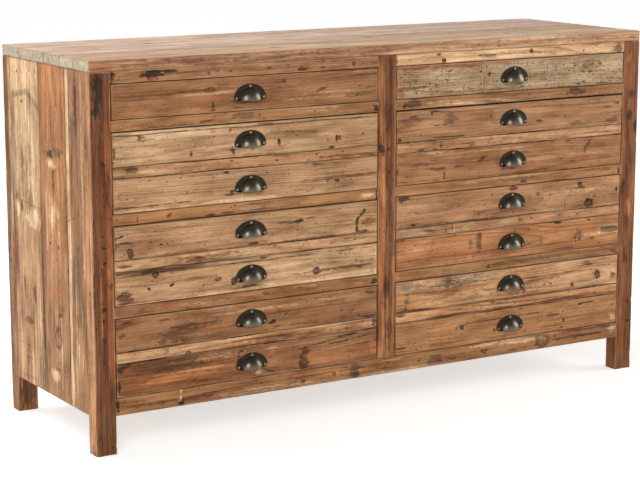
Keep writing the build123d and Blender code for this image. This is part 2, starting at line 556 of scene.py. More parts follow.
def box_skin(lines: list[np.ndarray], plain: tuple[Face, ...]) -> tuple[np.ndarray, ...]:
    """Covers a box with faces on its grid lines.

    Args:
        lines: the places of the grid lines on the three axes.
        plain: the faces that are covered by long strips only.

    Returns:
        The grid numbers of the points, the faces' corners, each face's corner count,
        and which faces are fine.
    """
    counts = [len(places) for places in lines]
    corners, sizes, fine = [], [], []

    def number(square: int, fixed: int, first: np.ndarray, second: np.ndarray) -> np.ndarray:
        """Gives the number of a grid point from its lines on the three axes.

        Args:
            square: the axis that the face is square to.
            fixed: the face's line on that axis.
            first: lines on the next axis.
            second: lines on the axis after it.

        Returns:
            The points' numbers.
        """
        parts = [None, None, None]
        parts[square] = np.full_like(first, fixed)
        parts[(square + 1) % 3], parts[(square + 2) % 3] = first, second
        return (parts[0] * counts[1] + parts[1]) * counts[2] + parts[2]

    for face in Face:
        square, sign = face.value
        fixed = 0 if sign < 0 else counts[square] - 1
        last_first, last_second = counts[(square + 1) % 3] - 1, counts[(square + 2) % 3] - 1
        if face not in plain:
            first, second = (grid.ravel() for grid in np.mgrid[0:last_first, 0:last_second])
            ring = ((0, 0), (1, 0), (1, 1), (0, 1))
            quads = np.stack([number(square, fixed, first + a, second + b) for a, b in ring], axis=1)
            corners.append((quads if sign > 0 else quads[:, ::-1]).ravel())
            sizes.append(np.full(len(quads), 4))
            fine.append(np.ones(len(quads), bool))
            continue
        swap = last_second > last_first
        last_long, last_short = (last_second, last_first) if swap else (last_first, last_second)
        for strip in range(last_long):
            ring = [(strip, 0), (strip + 1, 0), (strip + 1, last_short), (strip, last_short)]
            if strip == last_long - 1:
                ring[2:2] = [(last_long, step) for step in range(1, last_short)]
            if strip == 0:
                ring += [(0, step) for step in range(last_short - 1, 0, -1)]
            long, short = (np.array(part) for part in zip(*ring))
            ids = number(square, fixed, short, long) if swap else number(square, fixed, long, short)
            forward = (sign > 0) != swap
            corners.append(ids if forward else ids[::-1])
            sizes.append(np.array([len(ids)]))
            fine.append(np.zeros(1, bool))
    numbers, corner_ids = np.unique(np.concatenate(corners), return_inverse=True)
    rows, third = np.divmod(numbers, counts[2])
    grid = np.stack([*np.divmod(rows, counts[1]), third], axis=1)
    return grid, corner_ids.reshape(-1), np.concatenate(sizes), np.concatenate(fine)


@dataclass(frozen=True)
class Cut:
    """How boards are cut into faces and rounded, in millimetres.

    The widest faces along the grain, across it and through the board, and the radius of a worn edge.
    """

    along: float = 3.0
    across: float = 1.9
    deep: float = 12.0
    arris: float = 1.3


# Sizes in millimetres of the slow, quick and chipping noises of a worn edge, and their shares in its radius.
WEAR_CELLS = (38.0, 9.0, 21.0)
LEAST_SHARE, SLOW_SHARE, QUICK_SHARE, CHIP_SHARE = 0.55, 0.6, 0.35, 2.2
CHIP_RANGE = (0.72, 0.95)
LARGEST_ROUND = 0.42
RUB_DEPTH = 0.25
GROOVE_STEP = 0.05
EDGE_REACH = 20.0


@dataclass
class Board:
    """One worn board: a rounded, dented skin over a solid's box, painted with its look."""

    low: np.ndarray
    high: np.ndarray
    grain: Axis
    look: BoardLook
    main_face: Face
    seed: int
    cut: Cut
    plain: tuple[Face, ...] = ()
    weathering: tuple = ()
    groove: tuple[Face, float, float, float] | None = None

    def lines(self) -> list[np.ndarray]:
        """Places the grid lines on the three axes, with a pair at each side of a groove.

        Returns:
            The places on each axis, in millimetres.
        """
        steps = [self.cut.across] * 3
        steps[self.main_face.value[0]] = self.cut.deep
        steps[self.grain.value] = self.cut.along
        found = [lattice_lines(length, step) for length, step in zip(self.high - self.low, steps)]
        if self.groove:
            _, foot, head, _ = self.groove
            extra = np.array([foot, foot + GROOVE_STEP, head - GROOVE_STEP, head]) - self.low[2]
            found[2] = np.unique(np.concatenate([found[2], extra]))
        return found

    def skin(self) -> dict[str, np.ndarray]:
        """Makes the board's points, faces and painted values.

        Returns:
            Arrays by name: points in metres, corners, sizes, fine, and one array for each attribute.
        """
        size = self.high - self.low
        lines = self.lines()
        grid, corners, sizes, fine = box_skin(lines, self.plain)
        place = np.stack([lines[axis][grid[:, axis]] for axis in range(3)], axis=1)
        slow, quick, chip = (
            lattice_noise((place + self.low) / cell, self.seed + number)
            for number, cell in enumerate(WEAR_CELLS, 2)
        )
        shares = LEAST_SHARE + SLOW_SHARE * slow + QUICK_SHARE * quick + CHIP_SHARE * ease(*CHIP_RANGE, chip)
        radius = np.minimum(self.cut.arris * shares, LARGEST_ROUND * size.min())[:, None]
        core = np.clip(place, radius, size - radius)
        outward = place - core
        outward /= np.linalg.norm(outward, axis=1)[:, None]
        coat = Coat(place, outward, size, self.grain.value, self.main_face, self.seed)
        self.paint(coat)
        edge_gaps = np.sort(np.minimum(place, size - place), axis=1)[:, 1]
        rub = RUB_DEPTH * (slow + 0.4 * quick)
        coat.relief = coat.relief + rub * ease(0.0, 6.0, edge_gaps + 2.0)
        near_edge = np.sort(np.abs(outward), axis=1)[:, 1] > 0.05
        depth = np.where(near_edge, np.minimum(coat.relief, 0.7 * radius[:, 0]), coat.relief)
        depth = depth + self.groove_depth(place, outward)
        points = core + (radius - depth[:, None]) * outward + self.low
        return {
            "points": points * MM,
            "corners": corners,
            "sizes": sizes,
            "fine": fine,
            "tone": np.column_stack([coat.tone, np.ones(len(place))]),
            "mark": coat.mark,
            "grain": self.grain_places(place, size, coat.shift) * MM,
            "edge": np.minimum(edge_gaps, EDGE_REACH),
            "saw": coat.saw,
        }

    def paint(self, coat: Coat) -> None:
        """Gives the skin its tone from end to end and lays the board's marks on it.

        Args:
            coat: the board's skin.
        """
        share = coat.place[:, self.grain.value] / coat.size[self.grain.value] + 0.15 * coat.ragged
        near = linear(self.look.tone.value)
        far = linear((self.look.far_tone or self.look.tone).value)
        coat.tone = self.look.shade * (near + (far - near) * ease(0.2, 0.8, share)[:, None])
        for mark in (*self.weathering, *self.look.marks):
            mark.paint(coat)

    def groove_depth(self, place: np.ndarray, outward: np.ndarray) -> np.ndarray:
        """Gives the extra depth inside the board's groove, or none.

        Args:
            place: the points, from the board's lowest corner.
            outward: the way that each one faces.

        Returns:
            The depth at each point, in millimetres.
        """
        if not self.groove:
            return np.zeros(len(place))
        face, foot, head, depth = self.groove
        square, sign = face.value
        level = place[:, 2] + self.low[2]
        within = (level > foot + GROOVE_STEP / 2) & (level < head - GROOVE_STEP / 2)
        return depth * (within & (sign * outward[:, square] > 0.95))

    def grain_places(self, place: np.ndarray, size: np.ndarray, shift: np.ndarray) -> np.ndarray:
        """Gives each point's place in the log that the board was cut from, in millimetres.

        Args:
            place: the points, from the board's lowest corner.
            size: the board's size.
            shift: how far knots push the grain aside.

        Returns:
            Places along the log, and across and down from its heart.
        """
        chance = np.random.default_rng(self.seed + ACROSS_SEEDS)
        square, sign = self.main_face.value
        along = self.grain.value
        across = 3 - square - along
        heart_across = size[across] * chance.uniform(-0.4, 1.4)
        heart_down = chance.uniform(28.0, 85.0)
        from_face = size[square] - place[:, square] if sign > 0 else place[:, square]
        along_log = place[:, along] + chance.uniform(0.0, 4000.0)
        return np.stack([along_log, place[:, across] + shift - heart_across, from_face + heart_down], axis=1)


ATTRIBUTES = {
    "tone": ("FLOAT_COLOR", "color"),
    "mark": ("FLOAT_COLOR", "color"),
    "grain": ("FLOAT_VECTOR", "vector"),
    "edge": ("FLOAT", "value"),
    "saw": ("FLOAT", "value"),
}


def new_object(name: str, data: bpy.types.ID) -> bpy.types.Object:
    """Makes an object and links it to the scene.

    Args:
        name: the object's name.
        data: its mesh, lamp or camera.

    Returns:
        The new object, at the origin.
    """
    made = bpy.data.objects.new(name, data)
    bpy.context.scene.collection.objects.link(made)
    return made


def join_boards(name: str, boards: list[Board], finish: bpy.types.Material) -> bpy.types.Object:
    """Makes one object from several worn boards.

    Args:
        name: the object's name.
        boards: the boards to join.
        finish: the material that they share.

    Returns:
        The new object, at the origin.
    """
    skins = [board.skin() for board in boards]
    starts = np.cumsum([0] + [len(skin["points"]) for skin in skins])
    corners = np.concatenate([skin["corners"] + start for skin, start in zip(skins, starts)])
    whole = {key: np.concatenate([skin[key] for skin in skins]) for key in skins[0] if key != "corners"}
    mesh = bpy.data.meshes.new(name)
    mesh.vertices.add(len(whole["points"]))
    mesh.vertices.foreach_set("co", whole["points"].astype(np.float32).ravel())
    mesh.loops.add(len(corners))
    mesh.loops.foreach_set("vertex_index", corners.astype(np.int32))
    mesh.polygons.add(len(whole["sizes"]))
    mesh.polygons.foreach_set("loop_start", (np.cumsum(whole["sizes"]) - whole["sizes"]).astype(np.int32))
    mesh.polygons.foreach_set("use_smooth", whole["fine"])
    mesh.update(calc_edges=True)
    for key, (kind, value) in ATTRIBUTES.items():
        attribute = mesh.attributes.new(key, kind, "POINT")
        attribute.data.foreach_set(value, whole[key].astype(np.float32).ravel())
    mesh.materials.append(finish)
    return new_object(name, mesh)


def seat(piece: bpy.types.Object, body: str, slot: str, *nodes: str) -> bpy.types.Object:
    """Puts a finished piece on its body, in place of its CAD nodes.

    Args:
        piece: the finished object.
        body: the CAD body that it rides on.
        slot: not used.
        nodes: the CAD nodes that it stands for.

    Returns:
        The same object.
    """
    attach(piece, body)
    if nodes:
        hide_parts(*nodes)
    LOG.info("%s rides on %s with %d faces", piece.name, body, len(piece.data.polygons))
    return piece


class Graph:
    """Adds and wires the nodes of one tree."""

    def __init__(self, tree: bpy.types.NodeTree) -> None:
        """Keeps the tree that the nodes go into."""
        self.tree = tree

    def node(self, kind: str, feeds: dict | None = None, **settings: object) -> bpy.types.Node:
        """Adds a node, sets its own settings and feeds its inputs.

        Args:
            kind: the node's type name.
            feeds: sockets or plain values by the name or number of the input.
            settings: values for the node's properties.

        Returns:
            The new node.
        """
        made = self.tree.nodes.new(kind)
        for name, value in settings.items():
            setattr(made, name, value)
        for key, value in (feeds or {}).items():
            self.feed(made.inputs[key], value)
        return made

    def feed(self, target: bpy.types.NodeSocket, value: object) -> None:
        """Links a socket to a target, or sets a plain value on it.

        Args:
            target: the input to feed.
            value: a socket or a plain value.
        """
        if isinstance(value, bpy.types.NodeSocket):
            self.tree.links.new(value, target)
        else:
            target.default_value = value

    def math(self, operation: str, *values: object, clamp: bool = False) -> bpy.types.NodeSocket:
        """Adds a Math node and gives its result's socket."""
        feeds = dict(enumerate(values))
        return self.node("ShaderNodeMath", feeds, operation=operation, use_clamp=clamp).outputs[0]

    def split(self, vector: bpy.types.NodeSocket) -> bpy.types.NodeOutputs:
        """Adds a Separate XYZ node and gives its three sockets."""
        return self.node("ShaderNodeSeparateXYZ", {0: vector}).outputs

    def noise(self, vector: bpy.types.NodeSocket, along: float, across: float, detail: float = 2.0,
              roughness: float = 0.5) -> bpy.types.NodeSocket:
        """Adds a noise that is drawn out along the grain.

        Args:
            vector: places in the log, along it first.
            along: cells per metre along the grain.
            across: cells per metre across the grain.
            detail: how many finer noises are added.
            roughness: how strong the finer ones are.

        Returns:
            The noise's socket, with values round 0.5.
        """
        stretch = {0: vector, 1: (along, across, across)}
        cells = self.node("ShaderNodeVectorMath", stretch, operation="MULTIPLY")
        feeds = {"Vector": cells.outputs[0], "Scale": 1.0, "Detail": detail, "Roughness": roughness}
        return self.node("ShaderNodeTexNoise", feeds).outputs["Fac"]

    def ramp(self, value: object, low: float, high: float, start: float = 0.0,
             end: float = 1.0) -> bpy.types.NodeSocket:
        """Adds a smooth Map Range from low..high to start..end and gives its socket."""
        feeds = {"Value": value, "From Min": low, "From Max": high, "To Min": start, "To Max": end}
        return self.node("ShaderNodeMapRange", feeds, interpolation_type="SMOOTHSTEP").outputs["Result"]

    def mix(self, share: object, first: object, second: object, blend: str = "MIX") -> bpy.types.NodeSocket:
        """Adds a colour Mix node and gives the mixed colour's socket."""
        feeds = {"Factor": share, 6: first, 7: second}
        return self.node("ShaderNodeMix", feeds, data_type="RGBA", blend_type=blend).outputs[2]

    def bump(self, height: bpy.types.NodeSocket, strength: float, distance: float) -> bpy.types.NodeSocket:
        """Adds a Bump node and gives its normal's socket."""
        feeds = {"Strength": strength, "Distance": distance, "Height": height}
        return self.node("ShaderNodeBump", feeds).outputs["Normal"]


Sockets = dict[str, bpy.types.NodeSocket]


def new_group(name: str, inputs: dict[str, str], outputs: dict[str, str]) -> tuple[Graph, Sockets, Sockets]:
    """Starts a shader node group with named sockets.

    Args:
        name: the group's name.
        inputs: socket type by name.
        outputs: socket type by name.

    Returns:
        The group's graph, its input sockets by name and its output sockets by name.
    """
    tree = bpy.data.node_groups.new(name, "ShaderNodeTree")
    for key, kind in inputs.items():
        tree.interface.new_socket(key, in_out="INPUT", socket_type=kind)
    for key, kind in outputs.items():
        tree.interface.new_socket(key, in_out="OUTPUT", socket_type=kind)
    graph = Graph(tree)
    start, end = graph.node("NodeGroupInput"), graph.node("NodeGroupOutput")
    return graph, {key: start.outputs[key] for key in inputs}, {key: end.inputs[key] for key in outputs}


FLOAT, COLOUR, VECTOR = "NodeSocketFloat", "NodeSocketColor", "NodeSocketVector"
GRAIN_KEYS = ("Latewood", "Fibre", "Streak", "Fleck", "Blotch", "Tear")
CONTRAST_KEYS = ("Ring", "Fibre", "Streak", "Blotch", "Fleck")
# Cells per metre along and across the grain, detail and roughness.
PLAIN_NOISES = {
    "Fibre": (12.0, 270.0, 3.0, 0.68),
    "Streak": (3.2, 120.0, 3.0, 0.62),
    "Blotch": (8.0, 30.0, 3.0, 0.58),
    "Tear": (85.0, 190.0, 3.0, 0.7),
}
LOG_TAPER = 0.012
FULL_VALUE, DARKEST_VALUE = 1.15, 0.22
DEEPEN_POWERS = (1.0, 1.22, 1.45)
KERF_TINT = (0.5, 0.43, 0.37, 1.0)
# Pale pine on the arris: rubbed wood, and also a painted highlight where light catches the edge.
RUB_AND_HIGHLIGHT_PINE = (0.65, 0.41, 0.22, 1.0)
# Tint of the darker band beside each edge, deepest at the arris.
EDGE_DARK_TINT = (0.45, 0.34, 0.26, 1.0)


def pine_grain_group() -> bpy.types.NodeTree:
    """Makes the grain of sawn pine: year rings round a heart, fibres, flecks and slow blotches.

    Returns:
        The group's tree.
    """
    inputs = {"Grain": VECTOR, "Ring Spacing": FLOAT, "Wander": FLOAT}
    graph, ins, outs = new_group("pine_grain", inputs, dict.fromkeys(GRAIN_KEYS, FLOAT))
    log = ins["Grain"]
    along, across, down = graph.split(log)
    squares = graph.math("ADD", graph.math("MULTIPLY", across, across), graph.math("MULTIPLY", down, down))
    wander = graph.math("SUBTRACT", graph.noise(log, 2.0, 15.0), 0.5)
    radius = graph.math("MULTIPLY_ADD", wander, ins["Wander"], graph.math("SQRT", squares))
    radius = graph.math("MULTIPLY_ADD", along, LOG_TAPER, radius)
    rings = graph.math("DIVIDE", radius, ins["Ring Spacing"])
    phase = graph.math("FRACT", rings)
    rise, fall = graph.ramp(phase, 0.3, 0.85), graph.ramp(phase, 0.88, 1.0, 1.0, 0.0)
    year = graph.node("ShaderNodeTexWhiteNoise", noise_dimensions="1D")
    graph.feed(year.inputs["W"], graph.math("FLOOR", rings))
    strength = graph.math("MULTIPLY_ADD", year.outputs["Value"], 0.7, 0.3)
    graph.feed(outs["Latewood"], graph.math("MULTIPLY", graph.math("MULTIPLY", rise, fall), strength))
    for key, settings in PLAIN_NOISES.items():
        graph.feed(outs[key], graph.noise(log, *settings))
    dash = graph.ramp(graph.noise(log, 46.0, 260.0, 1.0), 0.66, 0.77, 0.0, 0.6)
    pit = graph.ramp(graph.noise(log, 120.0, 190.0, 1.0), 0.69, 0.74)
    graph.feed(outs["Fleck"], graph.math("MAXIMUM", dash, pit))
    return graph.tree


def saw_mark_group() -> bpy.types.NodeTree:
    """Makes saw marks across the grain: uneven lines, broken into dashes.

    Returns:
        The group's tree.
    """
    inputs = {"Grain": VECTOR, "Amount": FLOAT, "Pitch": FLOAT}
    graph, ins, outs = new_group("saw_marks", inputs, {"Kerf": FLOAT})
    log = ins["Grain"]
    drift = graph.math("SUBTRACT", graph.noise(log, 45.0, 14.0), 0.5)
    along = graph.math("MULTIPLY_ADD", drift, 0.018, graph.split(log)[0])
    wave = graph.math("SINE", graph.math("MULTIPLY", graph.math("DIVIDE", along, ins["Pitch"]), math.tau))
    lines = graph.ramp(wave, -0.3, 0.9)
    broken = graph.ramp(graph.noise(log, 40.0, 120.0, 3.0, 0.7), 0.4, 0.62, 0.05, 1.0)
    crowd = graph.ramp(graph.noise(log, 9.0, 26.0), 0.3, 0.56, 0.4, 1.0)
    kerf = graph.math("MULTIPLY", graph.math("MULTIPLY", lines, broken), crowd)
    graph.feed(outs["Kerf"], graph.math("MULTIPLY", kerf, ins["Amount"], clamp=True))
    return graph.tree


def edge_rub_highlight_group() -> bpy.types.NodeTree:
    """Makes the tints near an edge: a pale rub on the arris, partly worn by handling and partly a painted
    highlight, and a darker band beside it.

    Returns:
        The group's tree.
    """
    inputs = {"Grain": VECTOR, "Edge": FLOAT}
    graph, ins, outs = new_group("edge_rub_highlight", inputs, {"Rub And Highlight": FLOAT, "Edge Dark": FLOAT})
    broken = graph.noise(ins["Grain"], 26.0, 90.0, 3.0, 0.65)
    slow = graph.noise(ins["Grain"], 7.0, 30.0)
    # The pale rub on the arris, which also paints the highlight of a lit edge.
    near = graph.ramp(graph.math("MULTIPLY_ADD", broken, -5.0, ins["Edge"]), -1.2, 1.0, 1.0, 0.0)
    graph.feed(outs["Rub And Highlight"], graph.math("MULTIPLY", near, graph.ramp(slow, 0.4, 0.6)))
    # A darker band beside each edge, wider where the slow noise is low.
    beside = graph.math("MULTIPLY_ADD", slow, -6.0, ins["Edge"])
    graph.feed(outs["Edge Dark"], graph.ramp(beside, -3.4, 2.2, 1.0, 0.0))
    return graph.tree


def aged_tone_group() -> bpy.types.NodeTree:
    """Makes aged pine's colour: tone, grain, marks, a pale edge that is partly painted highlight, and a
    darker band beside it.

    Returns:
        The group's tree.
    """
    contrasts = (f"{key} Contrast" for key in CONTRAST_KEYS)
    numbers = dict.fromkeys(("Mark Weight", *GRAIN_KEYS, "Kerf", "Rub And Highlight", "Edge Dark", *contrasts), FLOAT)
    inputs = {"Tone": COLOUR, "Mark": COLOUR, **numbers}
    graph, ins, outs = new_group("aged_tone", inputs, {"Colour": COLOUR, "Marked": FLOAT})
    late = graph.math("MULTIPLY", ins["Latewood"], ins["Ring Contrast"])
    value = graph.math("MULTIPLY_ADD", late, -1.0, FULL_VALUE)
    for key in ("Fibre", "Streak", "Blotch"):
        centred = graph.math("SUBTRACT", ins[key], 0.5)
        value = graph.math("MULTIPLY_ADD", centred, ins[f"{key} Contrast"], value)
    fleck = graph.math("MULTIPLY", ins["Fleck"], ins["Fleck Contrast"])
    value = graph.math("MAXIMUM", graph.math("MULTIPLY_ADD", fleck, -1.0, value), DARKEST_VALUE)
    deepen = graph.node("ShaderNodeCombineXYZ")
    for target, power in zip(deepen.inputs, DEEPEN_POWERS):
        graph.feed(target, graph.math("POWER", value, power))
    wood = graph.mix(1.0, ins["Tone"], deepen.outputs[0], "MULTIPLY")
    torn = graph.math("MULTIPLY_ADD", graph.math("SUBTRACT", ins["Streak"], 0.5), -0.5, ins["Tear"])
    torn = graph.math("ADD", torn, ins["Mark Weight"])
    marked = graph.math("MULTIPLY", graph.ramp(torn, 0.58, 0.92), graph.ramp(ins["Mark Weight"], 0.0, 0.65))
    marked = graph.math("MULTIPLY", marked, graph.ramp(ins["Fibre"], 0.45, 0.68, 1.0, 0.78))
    colour = graph.mix(marked, wood, graph.mix(1.0, ins["Mark"], deepen.outputs[0], "MULTIPLY"))
    colour = graph.mix(ins["Kerf"], colour, graph.mix(1.0, colour, KERF_TINT, "MULTIPLY"))
    # Lays the pale rub on the arris: worn wood and a painted highlight together.
    colour = graph.mix(graph.math("MULTIPLY", ins["Rub And Highlight"], 0.75), colour, RUB_AND_HIGHLIGHT_PINE)
    # Darkens the colour in the band beside each edge.
    colour = graph.mix(ins["Edge Dark"], colour, graph.mix(1.0, colour, EDGE_DARK_TINT, "MULTIPLY"))
    graph.feed(outs["Colour"], colour)
    graph.feed(outs["Marked"], marked)
    return graph.tree


def new_material(name: str) -> tuple[bpy.types.Material, Graph, bpy.types.Node]:
    """Starts a material with nodes.

    Args:
        name: the material's name.

    Returns:
        The material, its graph and its Principled BSDF.
    """
    material = bpy.data.materials.new(name)
    material.use_nodes = True
    return material, Graph(material.node_tree), material.node_tree.nodes["Principled BSDF"]


@dataclass(frozen=True)
class PineFinish:
    """A pine surface: how strongly its grain, wear, painted edge highlight and darker edges show, and how it
    shines.
    """

    name: str
    ring_spacing: float = 0.0042
    wander: float = 0.022
    ring_contrast: float = 0.36
    fibre_contrast: float = 0.82
    streak_contrast: float = 0.85
    blotch_contrast: float = 1.75
    fleck_contrast: float = 0.62
    # Strength of the pale rub on the arris, which is partly a painted highlight.
    rub: float = 0.95
    # Strength of the darker band beside each edge.
    edge_dark: float = 0.4
    roughness: float = 0.58
    gloss: float = 0.2
    coat: float = 0.0
    coat_roughness: float = 0.38
    bump: float = 0.6
    bump_depth: float = 0.0006
    saw_pitch: float = 0.0072

    def build(self, groups: dict[str, bpy.types.NodeTree]) -> bpy.types.Material:
        """Makes the finish as a material.

        Args:
            groups: the shared node groups by name.

        Returns:
            The material.
        """
        material, graph, shader = new_material(self.name)
        read = {key: graph.node("ShaderNodeAttribute", attribute_name=key).outputs for key in ATTRIBUTES}
        log = {"Grain": read["grain"]["Vector"]}
        settings = {"Ring Spacing": self.ring_spacing, "Wander": self.wander}
        grain = graph.node("ShaderNodeGroup", {**log, **settings}, node_tree=groups["grain"])
        settings = {"Amount": read["saw"]["Fac"], "Pitch": self.saw_pitch}
        saw = graph.node("ShaderNodeGroup", {**log, **settings}, node_tree=groups["saw"])
        # The edge group gives the pale rub with its painted highlight, and the darker band beside each edge.
        wear = graph.node("ShaderNodeGroup", {**log, "Edge": read["edge"]["Fac"]}, node_tree=groups["wear"])
        kerf = saw.outputs["Kerf"]
        feeds = {
            "Tone": read["tone"]["Color"],
            "Mark": read["mark"]["Color"],
            "Mark Weight": read["mark"]["Alpha"],
            "Kerf": kerf,
            "Rub And Highlight": graph.math("MULTIPLY", wear.outputs["Rub And Highlight"], self.rub),
            "Edge Dark": graph.math("MULTIPLY", wear.outputs["Edge Dark"], self.edge_dark),
            **{key: grain.outputs[key] for key in GRAIN_KEYS},
            **{f"{key} Contrast": getattr(self, f"{key.lower()}_contrast") for key in CONTRAST_KEYS},
        }
        tone = graph.node("ShaderNodeGroup", feeds, node_tree=groups["tone"])
        dull = graph.math("MULTIPLY_ADD", grain.outputs["Fibre"], 0.22, self.roughness - 0.11)
        height = graph.math("MULTIPLY_ADD", grain.outputs["Fibre"], 1.2, grain.outputs["Latewood"])
        height = graph.math("MULTIPLY_ADD", kerf, -1.4, height)
        height = graph.math("MULTIPLY_ADD", tone.outputs["Marked"], -0.5, height)
        height = graph.math("MULTIPLY_ADD", grain.outputs["Fleck"], -0.5, height)
        graph.feed(shader.inputs["Base Color"], tone.outputs["Colour"])
        graph.feed(shader.inputs["Roughness"], graph.math("MULTIPLY_ADD", kerf, 0.2, dull, clamp=True))
        graph.feed(shader.inputs["Specular IOR Level"], self.gloss)
        graph.feed(shader.inputs["Coat Weight"], self.coat)
        graph.feed(shader.inputs["Coat Roughness"], self.coat_roughness)
        graph.feed(shader.inputs["Normal"], graph.bump(height, self.bump, self.bump_depth))
        return material


@dataclass(frozen=True)
class MetalFinish:
    """A cast metal surface, dull where it is rough and bright where hands polish it."""

    name: str
    dull_colour: tuple[int, int, int]
    bright_colour: tuple[int, int, int]
    dull_roughness: float
    bright_roughness: float
    metallic: float = 0.85
    grain: float = 1100.0
    cloud: float = 140.0
    bump: float = 0.1
    bump_depth: float = 0.0002
    pit_colour: tuple[float, float, float, float] = (0.012, 0.008, 0.005, 1.0)

    def build(self) -> bpy.types.Material:
        """Makes the finish as a material, which reads the piece's polish attribute.

        Returns:
            The material.
        """
        material, graph, shader = new_material(self.name)
        place = graph.node("ShaderNodeTexCoord").outputs["Object"]
        pits = graph.noise(place, self.grain, self.grain, 3.0, 0.6)
        cloud = graph.noise(place, self.cloud, self.cloud)
        polish = graph.node("ShaderNodeAttribute", attribute_name="polish").outputs["Fac"]
        share = graph.math("MULTIPLY_ADD", graph.math("SUBTRACT", cloud, 0.5), 0.3, polish, clamp=True)
        dull, bright = ((*linear(colour), 1.0) for colour in (self.dull_colour, self.bright_colour))
        pitted = graph.ramp(pits, 0.58, 0.8, 0.0, 0.2)
        colour = graph.mix(pitted, graph.mix(share, dull, bright), self.pit_colour)
        rise = self.bright_roughness - self.dull_roughness
        rough = graph.math("MULTIPLY_ADD", share, rise, self.dull_roughness)
        graph.feed(shader.inputs["Base Color"], colour)
        graph.feed(shader.inputs["Roughness"], graph.math("MULTIPLY_ADD", pits, 0.12, rough, clamp=True))
        graph.feed(shader.inputs["Metallic"], self.metallic)
        graph.feed(shader.inputs["Normal"], graph.bump(pits, self.bump, self.bump_depth))
        return material


class Finishes:
    """All the materials of the chest, made once."""

    def __init__(self) -> None:
        """Makes the shared node groups and every finish."""
        groups = {
            "grain": pine_grain_group(),
            "saw": saw_mark_group(),
            "wear": edge_rub_highlight_group(),
            "tone": aged_tone_group(),
        }
        finishes = {
            "front": PineFinish("drawer_front_pine"),
            "frame": PineFinish("frame_pine", ring_contrast=0.5, fibre_contrast=1.05, streak_contrast=1.45,
                                blotch_contrast=2.1),
            "side": PineFinish("end_plank_pine", rub=0.9, edge_dark=0.6, fibre_contrast=1.15, streak_contrast=1.1,
                               blotch_contrast=2.1),
            "top": PineFinish("top_pine", roughness=0.5, gloss=0.4, coat=0.3, edge_dark=0.5, fibre_contrast=1.7,
                              streak_contrast=1.6, blotch_contrast=1.3),
            "inner": PineFinish("inner_pine", rub=0.4, edge_dark=0.25, roughness=0.7, fibre_contrast=0.7,
                                streak_contrast=0.8),
            "back": PineFinish("back_board_pine", rub=0.5, roughness=0.72),
        }
        self.pine = {name: finish.build(groups) for name, finish in finishes.items()}
        self.pull = MetalFinish("aged_iron", (46, 40, 31), (105, 97, 83), 0.43, 0.25).build()
        self.screw = MetalFinish("screw_steel", (98, 88, 75), (140, 130, 112), 0.5, 0.36).build()


def repeat_tree() -> bpy.types.NodeTree:
    """Makes the Geometry Nodes tree that sets one shape on many points, each turned by chance.

    Returns:
        The tree, with inputs Points, Shape, Turn, Seed and Finish.
    """
    tree = bpy.data.node_groups.new("set_on_points", "GeometryNodeTree")
    kinds = {"Points": "Geometry", "Shape": "Object", "Turn": "Float", "Seed": "Int", "Finish": "Material"}
    for name, kind in kinds.items():
        tree.interface.new_socket(name, in_out="INPUT", socket_type=f"NodeSocket{kind}")
    tree.interface.new_socket("Pieces", in_out="OUTPUT", socket_type="NodeSocketGeometry")
    graph = Graph(tree)
    given = graph.node("NodeGroupInput").outputs
    shape = graph.node("GeometryNodeObjectInfo", {"Object": given["Shape"]}, transform_space="ORIGINAL")
    turn = graph.node("FunctionNodeRandomValue", {"Seed": given["Seed"]}, data_type="FLOAT")
    limits = {socket.name: socket for socket in turn.inputs if socket.type == "VALUE"}
    graph.feed(limits["Min"], 0.0)
    graph.feed(limits["Max"], given["Turn"])
    angle = graph.node("ShaderNodeCombineXYZ", {"Y": next(s for s in turn.outputs if s.type == "VALUE")})
    rotation = graph.node("FunctionNodeEulerToRotation", {0: angle.outputs[0]})
    feeds = {"Instance": shape.outputs["Geometry"], "Rotation": rotation.outputs[0]}
    placed = graph.node("GeometryNodeInstanceOnPoints", {"Points": given["Points"], **feeds})
    real = graph.node("GeometryNodeRealizeInstances", {0: placed.outputs[0]})
    coated = graph.node("GeometryNodeSetMaterial", {"Geometry": real.outputs[0], "Material": given["Finish"]})
    graph.node("NodeGroupOutput", {"Pieces": coated.outputs[0]})
    return tree


def plain_mesh(maker: bpy.types.Object) -> bpy.types.Mesh:
    """Turns an object with its modifiers into a plain mesh, and takes the modifiers off.

    Args:
        maker: the object.

    Returns:
        The new mesh.
    """
    evaluated = maker.evaluated_get(bpy.context.evaluated_depsgraph_get())
    mesh = bpy.data.meshes.new_from_object(evaluated)
    maker.modifiers.clear()
    return mesh


@dataclass
class Repeater:
    """Sets copies of one shape on points, as one mesh."""

    tree: bpy.types.NodeTree
    shape: bpy.types.Object
    finish: bpy.types.Material
    turn: float = 0.0

    def place(self, name: str, points: list[tuple[float, float, float]], seed: int) -> bpy.types.Object:
        """Sets the shape on the points.

        Args:
            name: the new object's name.
            points: places in millimetres.
            seed: fixes the chance turns.

        Returns:
            One object with all the copies in its mesh, and no modifier.
        """
        mesh = bpy.data.meshes.new(f"{name}_points")
        mesh.from_pydata([tuple(Vector(point) * MM) for point in points], [], [])
        piece = new_object(name, mesh)
        modifier = piece.modifiers.new("set_on_points", "NODES")
        modifier.node_group = self.tree
        sockets = self.tree.interface.items_tree
        ids = {item.name: item.identifier for item in sockets if item.in_out == "INPUT"}
        values = {"Shape": self.shape, "Turn": self.turn, "Seed": seed, "Finish": self.finish}
        for key, value in values.items():
            modifier[ids[key]] = value
        piece.data = plain_mesh(piece)
        return piece


def quilt(made: bmesh.types.BMesh, rows: list[list[bmesh.types.BMVert]]) -> None:
    """Fills the spaces between rows of points with four-sided faces.

    Args:
        made: the mesh that the points are in.
        rows: the points, as many in each row.
    """
    for row, after in zip(rows, rows[1:]):
        for first in range(len(row) - 1):
            made.faces.new((row[first], after[first], after[first + 1], row[first + 1]))


